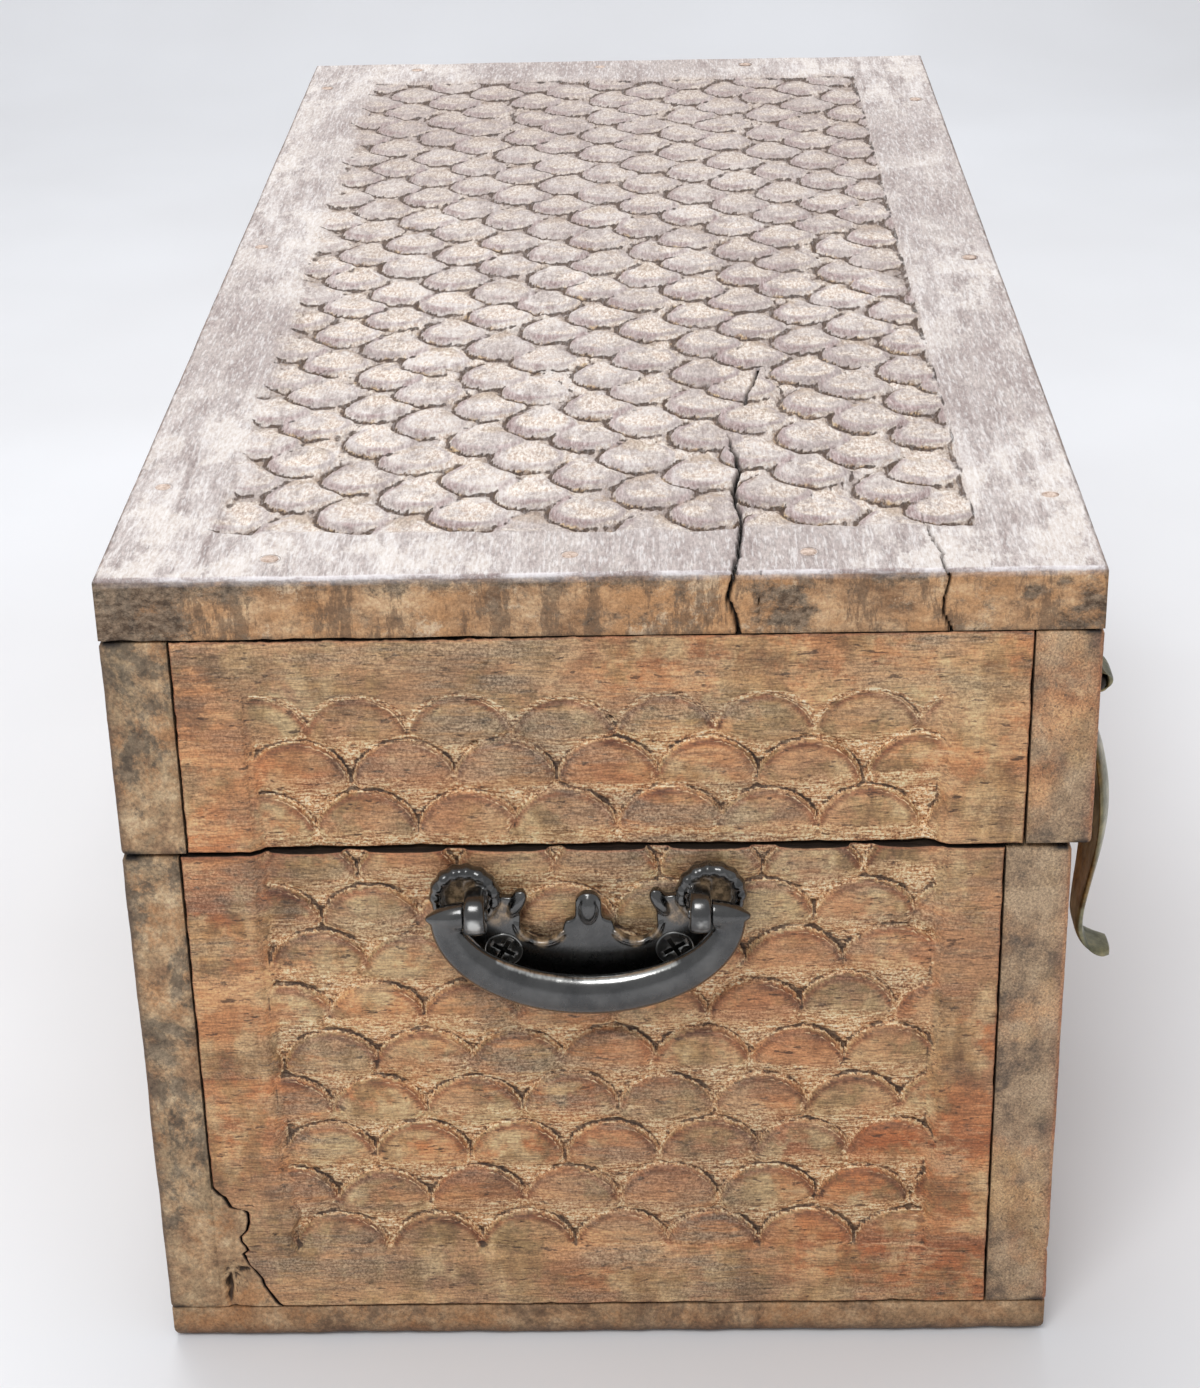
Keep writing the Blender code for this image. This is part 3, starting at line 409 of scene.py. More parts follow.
def marks_of(height, inside, fall, tone, halo, lean, field, grime=0.0):
    # hollow and nick: how far a place lies below its neighbours, widely and closely; rim and halo:
    # just inside and just outside a scale's edge. The finishes paint shade by hollow and nick, and
    # highlight and shade along rim and halo.
    wide = blurred(blurred(height, 5), 5) - height
    close = blurred(height, 2) - height
    return {
        "hollow": np.clip(wide / (0.55 * MM), -1, 1),
        "nick": np.clip(close / (0.28 * MM), -1, 1),
        "rim": np.exp(-(inside / (1.9 * MM)) ** 2) * field * (0.6 + 0.4 * lean),
        "fall": np.clip(fall / (22 * MM), 0, 1) * field,
        "tone": tone * field,
        "halo": halo * field,
        "field": field + 0 * height,
        "grime": grime + 0 * height,
    }


def plain_marks(height):
    zero = np.zeros(height.shape)
    return marks_of(height, zero + 1, zero, zero, zero, zero, zero)


def end_ground(field, vv):
    """The board's face, sunk under the carving from its upper border on."""
    sunk = smoothstep(FIELD_HIGH + 3 * MM, FIELD_HIGH - 9 * MM, vv)
    return np.zeros(field.shape) - 1.5 * MM * sunk


def end_surface(rows, seed):
    """The carved face of an end: its height and its marks."""
    def surface(u, v):
        uu, vv = u[None, :], v[:, None]
        wander = rough_at(uu, vv, 9, 9, seed + 30, 2)
        field = (share_between(uu, END_FIELD, (-0.4, 2.2, 0.5), (0.6, -2.6, 0.8), wander)
                 * share_between(vv, FIELD_RISE, (-0.6, 2.6, 0.6), (4, -1, 1.2), wander))
        scales = scale_list(rows, *END_FIELD, END_RADIUS, seed)
        height, *shades = carve_scales(
            u, v, scales, end_ground(field, vv), seed, edge=0.3 * MM, bias=-1, soft=0.6,
            dome=0.25 * MM, dig=0.55 * MM, roll=0.7 * MM)
        _, fall, _, halo, _ = shades
        rough_cut = np.maximum(halo, smoothstep(12 * MM, 19 * MM, fall)) * field
        fibres = rough_at(uu, vv, 3.0, 0.8, seed + 8, 3) * 0.45 * MM
        chips = 1.6 * MM * smoothstep(0.5, 0.9, rough_at(uu, vv, 5, 2.2, seed + 12, 2))
        height = height + rough_cut * (fibres - chips)
        height = height + rough_at(uu, vv, 5, 0.8, seed + 3, 2) * 0.1 * MM
        height = height * field + tool_marks(u, v, seed + 5)
        rise = (smoothstep(FIELD_HIGH + 3 * MM, FIELD_HIGH, vv) * smoothstep(24 * MM, 44 * MM, vv))
        for line in END_FIELD:
            height = height + groove(uu - line + 0.15 * MM * wander, 0.7, 0.6) * rise
        height = height + groove(vv - FIELD_LOW, 0.6, 0.4)
        height = height - 0.5 * MM * smoothstep(0.62, 0.95, rough_at(uu, vv, 6, 1.2, seed + 40, 3))
        grime = 0.3 + 0.5 * rough_at(uu, vv, 25, 25, seed + 50, 3)
        return height, marks_of(height, *shades, field, grime)

    return surface


def front_surface(rows, seed):
    """The front's carving, as on the ends but longer."""
    def surface(u, v):
        uu, vv = u[None, :], v[:, None]
        wander = rough_at(uu, vv, 9, 9, seed + 30, 2)
        field = (share_between(uu, FRONT_FIELD, (-0.5, 1.5, 0.4), (0.5, -1.5, 0.4), wander)
                 * share_between(vv, FIELD_RISE, (-0.5, 1.2, 0), (4, -1, 0), wander))
        scales = scale_list(rows, *FRONT_FIELD, END_RADIUS, seed)
        height, *shades = carve_scales(u, v, scales, end_ground(field, vv), seed, edge=0.6 * MM)
        height = height * field + tool_marks(u, v, seed + 5)
        for line in FRONT_FIELD:
            height = height + groove(uu - line, 0.8, 0.35)
        height = height + groove(vv - FIELD_LOW, 0.8, 0.3)
        return height, marks_of(height, *shades, field, 0.3)

    return surface


def lattice_rows(first_tip, row, count, first, pitch, offset, seed):
    """Evenly set rows with a slow drift, as (tip, first middle, pitch) in mm."""
    rng = np.random.default_rng(seed)
    return [(first_tip - row * k + rng.normal(0, 0.4),
             first + (offset if k % 2 else 0) + rng.normal(0, 1.0),
             pitch + rng.normal(0, 0.25)) for k in range(count)]


def top_surface():
    """The carved top: tips point to the left end, at v = +HALF_LENGTH."""
    across = (-88 * MM, 91.5 * MM)
    along = (-HALF_LENGTH + 28 * MM, HALF_LENGTH - 27 * MM)
    rows = lattice_rows(244 - 18.5, 12.3, 37, 73.8, 28.4, 13.2, 5)
    scales = scale_list(rows, *across, TOP_RADIUS, 8, 1.5)

    def surface(u, v):
        uu, vv = u[None, :], v[:, None]
        wander = rough_at(uu, vv, 11, 11, 71, 3)
        ends = share_between(vv, along, (-2, 3, 1.5), (3, -2.5, 2), wander)
        field = share_between(uu, across, (-0.3, 1.2, 0.3), (2.5, -4.5, 3.2), wander) * ends
        rough = rough_at(uu, vv, 1.2, 3, 68, 3)
        ground = -2.1 * MM + 0.4 * MM * rough + 0 * field
        height, inside, fall, tone, halo, lean = carve_scales(
            u, v, scales, ground, 60, edge=0.35 * MM, reach=29 * MM, torn=0.3, slope=0.078,
            length=DROP_LENGTH, fade=(1.9, 2.6), bias=1, dome=0.18 * MM, dig=0.7 * MM,
            roll=0.28 * MM, shade_side=0.75)
        # Toward the far end: shallower relief, fainter dark lines round the scales and a greyer,
        # darker tone, a painted fall-off of the light there.
        worn = smoothstep(80 * MM, -160 * MM, vv)
        halo = halo * (1 - 0.4 * worn)
        tone = 0.35 * tone + worn
        height = height * (1 - 0.25 * worn) + 0.12 * MM * rough
        height = height + rough_at(uu, vv, 4, 6, 63, 3) * 0.22 * MM
        height = height * field + tool_marks(u, v, 65, along_u=False)
        height = height + groove(uu - across[0] + 0.2 * MM * wander, 0.5, 0.6) * ends
        return height, marks_of(height, inside, fall, tone, halo, lean, field)

    return surface


def plain_surface(seed):
    def surface(u, v):
        height = tool_marks(u, v, seed)
        return height, plain_marks(height)
    return surface


def srgb(red, green, blue):
    """A colour as it looks on screen, from 0 to 255, in the shader's own scale."""
    return tuple((c / 255 / 12.92) if c <= 10 else ((c / 255 + 0.055) / 1.055) ** 2.4
                 for c in (red, green, blue)) + (1.0,)


def as_colour(value):
    """A triple is a colour as it looks on screen; anything else stays as it is."""
    return srgb(*value) if isinstance(value, tuple) and len(value) == 3 else value


class Finish:
    """A material that is put together from small steps, layer over layer."""

    def __init__(self, name, rough=0.75, metallic=0.0):
        self.material = bpy.data.materials.new(name)
        self.material.use_nodes = True
        self.nodes = self.material.node_tree.nodes
        self.links = self.material.node_tree.links
        self.shader = self.nodes["Principled BSDF"]
        self.shader.inputs["Roughness"].default_value = rough
        self.shader.inputs["Metallic"].default_value = metallic
        self.place = self.nodes.new("ShaderNodeTexCoord").outputs["Object"]
        self.colour = None

    def put(self, socket, value):
        """Feed a socket: with another socket, with a mark by its name, or with a fixed value."""
        if isinstance(value, str):
            value = self.mark(value)
        if isinstance(value, bpy.types.NodeSocket):
            self.links.new(value, socket)
        else:
            socket.default_value = as_colour(value)

    def noise(self, scale, detail=4.0, rough=0.55, stretch=(1, 1, 1), shift=(0, 0, 0), warp=0.0):
        mapping = self.nodes.new("ShaderNodeMapping")
        mapping.inputs["Scale"].default_value = stretch
        mapping.inputs["Location"].default_value = shift
        self.links.new(self.place, mapping.inputs["Vector"])
        texture = self.nodes.new("ShaderNodeTexNoise")
        texture.inputs["Scale"].default_value = scale
        texture.inputs["Detail"].default_value = detail
        texture.inputs["Roughness"].default_value = rough
        texture.inputs["Distortion"].default_value = warp
        self.links.new(mapping.outputs["Vector"], texture.inputs["Vector"])
        return texture.outputs["Fac"]

    def mark(self, name):
        reader = self.nodes.new("ShaderNodeAttribute")
        reader.attribute_name = name
        return reader.outputs["Fac"]

    def band(self, value, low, high, to_low=0.0, to_high=1.0):
        """Value from low to high, turned smoothly into a share."""
        node = self.nodes.new("ShaderNodeMapRange")
        node.interpolation_type = "SMOOTHSTEP"
        self.put(node.inputs["Value"], value)
        for name, number in (("From Min", low), ("From Max", high),
                             ("To Min", to_low), ("To Max", to_high)):
            node.inputs[name].default_value = number
        return node.outputs["Result"]

    def math(self, operation, first, second):
        node = self.nodes.new("ShaderNodeMath")
        node.operation = operation
        self.put(node.inputs[0], first)
        self.put(node.inputs[1], second)
        return node.outputs[0]

    def times(self, first, second):
        return self.math("MULTIPLY", first, second)

    def ramp(self, value, *stops):
        node = self.nodes.new("ShaderNodeValToRGB")
        bar = node.color_ramp
        while len(bar.elements) < len(stops):
            bar.elements.new(0.5)
        for element, (place, colour) in zip(bar.elements, stops):
            element.position = place
            element.color = as_colour(colour)
        self.put(node.inputs["Fac"], value)
        return node.outputs["Color"]

    def mix(self, share, first, second, blend="MIX"):
        node = self.nodes.new("ShaderNodeMix")
        node.data_type = "RGBA"
        node.blend_type = blend
        self.put(node.inputs["Factor"], share)
        self.put(node.inputs[6], first)
        self.put(node.inputs[7], second)
        return node.outputs[2]

    def lay(self, share, colour):
        """Cover a share of what is there with a colour."""
        self.colour = self.mix(share, self.colour, colour)

    def grain(self, share, pattern, low, high, light):
        """Darken and lighten what is there with a fine pattern."""
        greys = self.ramp(pattern, (low, (0.2, 0.2, 0.2, 1)), (high, (light, light, light, 1)))
        self.colour = self.mix(share, self.colour, greys, "OVERLAY")

    def bump(self, height, distance, strength):
        node = self.nodes.new("ShaderNodeBump")
        node.inputs["Distance"].default_value = distance
        node.inputs["Strength"].default_value = strength
        self.put(node.inputs["Height"], height)
        self.links.new(node.outputs["Normal"], self.shader.inputs["Normal"])

    def done(self, rough=None):
        self.put(self.shader.inputs["Base Color"], self.colour)
        if rough is not None:
            self.put(self.shader.inputs["Roughness"], rough)
        return self.material


def carved_wood(name, grain):
    """Orange-brown hardwood, grimy on the scales, with pale torn fibres in the deep cuts.
    Each scale's edge has a painted highlight over a reddish band of painted shade, and the
    cuts, crevices and joints are painted dark as shade.
    """
    f = Finish(name, rough=0.6)
    short = tuple(0.14 if g < 1 else 1 for g in grain)
    fibres = f.noise(90, 5, 0.62, grain)
    streaks = f.noise(20, 5, 0.66, grain, (3, 1, 2))
    hairs = f.noise(1900, 3, 0.6, short, (2, 2, 2), 0.6)
    patches = f.noise(60, 5, 0.68, shift=(7, 3, 1))
    broad = f.noise(11, 3, 0.55, shift=(1, 9, 4))
    strokes = f.noise(200, 4, 0.6, (1, 0.5, 0.25), (5, 5, 9))
    speckle = f.noise(1500, 3, 0.75)
    f.colour = f.ramp(fibres, (0.36, (146, 92, 56)), (0.5, (190, 130, 84)), (0.62, (218, 162, 112)))
    f.lay(f.times(f.band(streaks, 0.48, 0.6, 0, 0.8), f.math("SUBTRACT", 1.0, "side")),
          f.ramp(fibres, (0.38, (146, 80, 44)), (0.6, (192, 112, 62))))
    f.lay(f.band(f.noise(230, 5, 0.7, short, (7, 7, 3)), 0.58, 0.68, 0, 0.6), (222, 180, 136))
    f.lay(f.band(broad, 0.44, 0.6, 0, 0.5), (168, 140, 106))
    f.lay(f.times(f.band("field", 1, 0, 0, 0.14), f.math("SUBTRACT", 1.0, "side")), (118, 88, 64))
    zones = f.noise(26, 7, 0.78, (1, 0.7, 1), (2, 6, 3))
    f.lay(f.band(zones, 0.52, 0.6, 0, 0.65),
          f.ramp(strokes, (0.38, (96, 68, 50)), (0.6, (148, 112, 84))))
    f.lay(f.band(zones, 0.47, 0.4, 0, 0.5), (208, 170, 126))
    grime = f.times(f.band(patches, 0.45, 0.58), f.band("field", 0, 1, 0.6, 0.8))
    f.lay(grime, f.ramp(strokes, (0.36, (104, 78, 50)), (0.5, (154, 124, 82)),
                        (0.62, (202, 174, 130))))
    f.lay(f.band("tone", 0.1, 0.9, 0, 0.3), (162, 138, 98))
    f.lay(f.band("tone", -0.1, -0.9, 0, 0.4), (182, 110, 66))
    sandy = f.ramp(f.math("ADD", f.times(speckle, 0.55), f.times(hairs, 0.45)),
                   (0.4, (142, 86, 50)), (0.49, (222, 164, 114)), (0.57, (252, 216, 172)))
    torn = f.math("MAXIMUM", "halo", f.times("fall", 0.9))
    torn = f.band(f.math("ADD", torn, f.times(f.noise(140, 5, 0.75, grain), 0.9)), 0.78, 1.1)
    f.lay(f.times(torn, 0.85), sandy)
    # A reddish band just inside each scale's edge: painted shade on its rolled rim.
    painted_bevel_shade = f.times(f.band("rim", 0.12, 0.75), f.band(f.noise(70, 4, 0.7), 0.36, 0.56, 0.45, 0.95))
    f.lay(painted_bevel_shade, f.ramp(strokes, (0.36, (98, 54, 32)), (0.62, (152, 98, 64))))
    # A pale line right at each scale's edge: painted highlight where its upward step meets the
    # light.
    painted_rim_highlight = f.times(f.band("rim", 0.86, 0.97),
                  f.band(f.noise(60, 5, 0.7, shift=(4, 4, 4)), 0.38, 0.52, 0.5, 1.0))
    f.lay(painted_rim_highlight, (248, 208, 162))
    pores = f.noise(800, 3, 0.65, tuple(0.25 if g < 1 else 1 for g in grain), (1, 4, 4))
    f.lay(f.band(pores, 0.61, 0.67, 0, 0.8), (68, 44, 30))
    dirt = f.times("grime", f.band(f.noise(120, 6, 0.75, grain, (8, 1, 1)), 0.42, 0.58))
    f.lay(dirt, f.ramp(speckle, (0.4, (98, 84, 68)), (0.6, (160, 144, 122))))
    # A dark line just outside each scale's edge: painted shade in the cut.
    line = f.times(f.band("halo", 0.74, 0.95),
                   f.band(f.noise(60, 5, 0.7, shift=(6, 1, 6)), 0.4, 0.54, 0.3, 0.9))
    f.lay(line, (58, 36, 24))
    # Painted shade in the crevices, where the surface lies below its neighbours.
    crevice_shade = f.times("nick", f.band(f.noise(80, 5, 0.7), 0.38, 0.58, 0.4, 1.2))
    f.lay(f.band(crevice_shade, 0.5, 1.1, 0, 0.85), (46, 30, 22))
    smudge = f.ramp(f.noise(90, 5, 0.72, short, (4, 8, 8)), (0.38, (92, 80, 68)),
                    (0.5, (150, 126, 100)), (0.6, (172, 148, 120)))
    f.lay(f.times("side", f.band(f.noise(38, 4, 0.65, shift=(3, 3, 8)), 0.4, 0.58, 0.3, 0.9)),
          smudge)
    f.lay(f.times("arris", 0.4), (150, 84, 58))
    f.grain(0.46, hairs, 0.36, 0.6, 0.86)
    f.grain(0.36, speckle, 0.38, 0.62, 0.86)
    # Joint sides painted near-black near the face: painted shade in the gap, with the dark of the
    # joint.
    f.lay("joint", (30, 20, 14))
    f.bump(f.math("ADD", hairs, f.times(speckle, 0.5)), 0.0003, 0.7)
    return f.done()


def top_wood(name):
    """Bleached, dusty wood: lilac-grey rims, cream middles, ochre in the crevices. Brown sides.
    The rims' lilac grey and the ochre's dark end are partly painted shade; hollows, crevices,
    cracks and the end arrises are darkened as painted shade.
    """
    f = Finish(name, rough=0.78)
    fibres = f.noise(300, 5, 0.68, (0.13, 1, 1))
    streaks = f.noise(1400, 4, 0.65, (0.14, 1, 1), (1, 1, 5))
    patches = f.noise(60, 5, 0.75, (0.6, 1, 1), (4, 2, 1))
    broad = f.noise(9, 4, 0.6, (0.7, 1, 1), (2, 5, 4))
    speckle = f.noise(1300, 4, 0.8, (0.3, 1, 1))
    f.colour = f.ramp(fibres, (0.34, (152, 138, 134)), (0.5, (186, 175, 171)),
                      (0.64, (214, 206, 202)))
    f.lay(f.band(patches, 0.46, 0.58, 0, 0.8), (222, 213, 206))
    f.lay(f.band(broad, 0.46, 0.6, 0, 0.65), (160, 146, 142))
    middle = f.times(f.band("rim", 0.35, 0.0), "field")
    cream = f.ramp(speckle, (0.4, (196, 172, 152)), (0.5, (220, 203, 186)), (0.6, (240, 229, 216)))
    f.lay(f.times(middle, f.band(f.noise(90, 5, 0.75), 0.42, 0.58, 0.1, 0.8)), cream)
    # Lilac grey along each rim, stronger on its crisp side: the rim's colour, partly painted shade
    # where it rolls away from the light.
    lilac = f.times(f.band("rim", 0.1, 0.65), f.band(f.noise(60, 4, 0.7), 0.36, 0.56, 0.15, 0.8))
    f.lay(lilac, f.ramp(streaks, (0.35, (134, 108, 106)), (0.65, (186, 166, 164))))
    low = f.times("fall", f.band(f.noise(80, 4, 0.7, shift=(3, 6, 1)), 0.45, 0.6, 0, 1.0))
    f.lay(f.band(low, 0.35, 0.9, 0, 0.7), (168, 146, 126))
    # Ochre torn fibres round each scale's cut; the dark end of this ramp is painted shade under the
    # tips.
    ochre = f.ramp(f.noise(420, 4, 0.7, (0.6, 1, 1)), (0.38, (74, 56, 44)), (0.5, (132, 104, 80)),
                   (0.6, (206, 176, 134)))
    cut = f.math("ADD", "halo", f.times(f.math("SUBTRACT", f.noise(90, 6, 0.8), 0.5), 2.4))
    f.lay(f.band(cut, 0.5, 0.85, 0, 0.95), ochre)
    f.lay(f.band("tone", -0.3, 1.0, 0, 0.4), (158, 142, 137))
    # Painted shade in the crevices between the scales.
    crevice_shade = f.times("nick", f.band(f.noise(200, 4, 0.7), 0.3, 0.6, 0.6, 1.3))
    f.lay(f.band(crevice_shade, 0.4, 0.9, 0, 0.9), (54, 39, 31))
    # Painted shade in the wide hollows.
    f.lay(f.band("hollow", 0.5, 1.0, 0, 0.4), (104, 82, 68))
    f.lay("side", end_grain(f))
    # Rounded arrises: rubbed pale on the long flanks; on the ends a dark band that is partly
    # painted shade where the edge rolls away from the light.
    rub = f.noise(160, 4, 0.7, (1, 0.3, 1))
    rubbed = f.mix("flank", f.ramp(rub, (0.4, (146, 128, 126)), (0.56, (240, 234, 236))),
                   f.ramp(rub, (0.4, (78, 62, 54)), (0.62, (150, 128, 116))))
    f.lay(f.times("arris", 0.8), rubbed)
    # Cracks painted near-black inside: painted shade.
    f.lay("crack", (14, 10, 8))
    f.grain(0.4, speckle, 0.38, 0.62, 0.8)
    flat = f.math("SUBTRACT", 1.0, f.math("MAXIMUM", "side", f.times("field", 0.7)))
    f.lay(f.times(f.band(streaks, 0.5, 0.64, 0.0, 0.5), flat), (236, 232, 230))
    f.bump(f.math("ADD", f.noise(300, 4, 0.65, (0.14, 1, 1)), f.times(speckle, 0.5)), 0.0004, 0.8)
    return f.done()


def end_grain(f):
    """The top board's ends: tan and orange wood under charcoal dirt and dark runs."""
    runs = f.noise(140, 6, 0.75, (0.15, 1, 0.3), (2, 2, 2))
    grains = f.noise(700, 4, 0.8, (0.3, 0.6, 1))
    edge = f.ramp(f.noise(110, 6, 0.75, (0.15, 0.5, 1)), (0.34, (128, 92, 62)),
                  (0.5, (184, 144, 106)), (0.64, (220, 186, 146)))
    edge = f.mix(f.band(f.noise(36, 4, 0.7, (0.3, 0.6, 1), (9, 3, 3)), 0.44, 0.6, 0, 0.6), edge,
                 (192, 140, 92))
    edge = f.mix(f.band(f.noise(80, 7, 0.82, (0.4, 0.8, 1), (7, 7, 2)), 0.54, 0.62, 0, 0.7), edge,
                 (216, 190, 158))
    edge = f.mix(f.band(runs, 0.5, 0.57, 0, 0.65), edge, (98, 76, 58))
    edge = f.mix(f.band(f.noise(500, 4, 0.7, (0.5, 1, 0.2)), 0.58, 0.7, 0, 0.6), edge, (96, 68, 46))
    blots = f.math("SUBTRACT", f.noise(200, 8, 0.85, (0.3, 0.8, 1.1), (3, 3, 3)), 0.5)
    stains = f.math("ADD", "grime", f.times(blots, 2.6))
    return f.mix(f.band(stains, 0.36, 0.96, 0, 0.86), edge,
                 f.ramp(grains, (0.4, (44, 37, 31)), (0.6, (132, 116, 98))))


def edge_wood(name, grain, warm=0.0):
    """Grey-brown weathered wood of the end grain, back and base; warm makes it browner."""
    f = Finish(name, rough=0.75)
    fibres = f.noise(140, 6, 0.66, grain)
    patches = f.noise(34, 8, 0.78, grain, (5, 5, 2), 0.4)
    blots = f.noise(60, 8, 0.8, grain, (2, 7, 2), 0.3)
    smudges = f.noise(45, 8, 0.78, grain, (6, 2, 7), 0.3)
    speckle = f.noise(900, 4, 0.8, (0.4, 1, 1))
    f.colour = f.ramp(fibres, (0.36, (140, 108, 80)), (0.5, (178, 144, 108)),
                      (0.64, (204, 176, 140)))
    f.lay(f.band(smudges, 0.46, 0.6, 0, 0.75), (156, 134, 104))
    f.lay(f.band(blots, 0.5, 0.62, 0, 0.55), (178, 124, 78))
    f.lay(f.band(patches, 0.5, 0.58, 0, 0.82),
          f.ramp(fibres, (0.4, (76, 67, 56)), (0.6, (128, 113, 94))))
    # Painted shade in the wide hollows.
    f.lay(f.band("hollow", 0.25, 0.9, 0, 0.65), (84, 60, 42))
    f.lay(warm, (140, 92, 52))
    # Painted shade in the small crevices.
    f.lay(f.band("nick", 0.15, 0.8, 0, 0.8), (60, 46, 38))
    # Rounded arrises darkened: grime, and along the base's lower edge a painted contact shadow as
    # well.
    f.lay(f.times("arris", 0.7), (84, 64, 52))
    f.grain(0.52, speckle, 0.38, 0.62, 0.8)
    # Joint sides painted near-black near the face: painted shade in the gap, with the dark of the
    # joint.
    f.lay("joint", (30, 20, 14))
    f.bump(f.math("ADD", f.noise(260, 3, 0.6, grain), speckle), 0.0004, 0.7)
    return f.done()


def metal(name, dark, light, rough, scale, metallic=1.0):
    """Plain metal, lighter and smoother where it is worn."""
    f = Finish(name, rough=rough, metallic=metallic)
    wear = f.noise(scale, 4, 0.6)
    f.colour = f.ramp(wear, (0.35, dark), (0.7, light))
    f.bump(f.noise(scale * 6, 3, 0.5), 0.0001, 0.35)
    return f.done(f.band(wear, 0.3, 0.7, rough + 0.12, rough - 0.08))


def cast_iron(name):
    """Satin black casting with brown dirt in its hollows and bright steel where it rubs.
    On the bail's ridge that bright steel is also a painted highlight.
    """
    f = Finish(name, rough=0.34, metallic=0.9)
    wear = f.noise(90, 5, 0.65)
    f.colour = f.ramp(wear, (0.35, (38, 38, 38)), (0.68, (84, 83, 81)))
    dirt = f.band(f.times("dirt", f.noise(260, 5, 0.75)), 0.08, 0.34)
    f.lay(dirt, f.ramp(f.noise(500, 3, 0.7), (0.4, (84, 68, 48)), (0.6, (160, 134, 102))))
    # Bright steel where the hooks rub; along the bail's ridge it is also a painted highlight.
    bright = f.band(f.times("worn", f.noise(160, 3, 0.6)), 0.3, 0.5)
    f.lay(bright, (190, 190, 186))
    f.put(f.shader.inputs["Metallic"], f.band(dirt, 0, 1, 1.0, 0.1))
    f.shader.inputs["Coat Weight"].default_value = 1.0
    f.shader.inputs["Coat Roughness"].default_value = 0.18
    f.shader.inputs["Coat IOR"].default_value = 1.7
    f.bump(f.noise(500, 3, 0.6), 0.0001, 0.3)
    return f.done(f.math("ADD", f.band(wear, 0.3, 0.7, 0.32, 0.22), f.times(dirt, 0.3)))


def old_brass(name):
    """Brass gone dull: greenish grey outside, golden brown on the sheltered side."""
    f = Finish(name, rough=0.36, metallic=0.85)
    wear = f.noise(120, 6, 0.72)
    f.colour = f.ramp(wear, (0.36, (92, 90, 72)), (0.52, (126, 122, 98)), (0.66, (158, 148, 112)))
    inner = f.times("inner", f.band(wear, 0.34, 0.6, 1.0, 0.6))
    f.lay(inner, f.ramp(f.noise(300, 4, 0.7), (0.4, (84, 62, 36)), (0.6, (146, 112, 62))))
    f.bump(f.noise(500, 4, 0.65), 0.00015, 0.4)
    return f.done(f.band(wear, 0.3, 0.7, 0.46, 0.28))


def peg_end_wood(name):
    """End grain of the pegs; on the top they are bleached."""
    f = Finish(name, rough=0.8)
    grain = f.noise(700, 4, 0.75)
    brown = f.ramp(grain, (0.38, (104, 76, 54)), (0.6, (176, 138, 104)))
    pale = f.ramp(grain, (0.38, (160, 134, 118)), (0.6, (220, 200, 186)))
    f.colour = f.mix("pale", brown, pale)
    f.lay(f.times("nick", f.band(f.noise(300, 3, 0.7), 0.35, 0.55, 0.5, 0.95)), (88, 70, 60))
    f.bump(grain, 0.0002, 0.6)
    return f.done()


FINISHES = {
    "carved_wood": carved_wood("carved_wood_end", (1, 0.12, 1)),
    "carved_front_wood": carved_wood("carved_wood_front", (0.12, 1, 1)),
    "worn_top_wood": top_wood("worn_top_wood"),
    "grey_edge_wood": edge_wood("grey_edge_wood", (0.12, 1, 1)),
    "brown_base_wood": edge_wood("brown_base_wood", (0.12, 1, 1), 0.32),
    "peg_wood": peg_end_wood("peg_wood"),
    "cast_iron": cast_iron("cast_iron"),
    "steel_screw": metal("steel_screw", (84, 84, 84), (164, 164, 160), 0.28, 90),
    "old_brass": old_brass("old_brass"),
    "dark_iron": metal("dark_iron", (48, 42, 38), (84, 74, 64), 0.55, 80, 0.85),
}


def ragged_side(seed, least, most, size=6):
    """A side that draws back from its neighbour by between least and most, in mm."""
    def wave(place):
        share = 0.5 + 0.6 * rough_at(place, 0.5 * MM + 0 * place, size, 1, seed, 4)
        return -(least * MM + (most * MM - least * MM) * np.clip(share, 0, 1))
    return wave


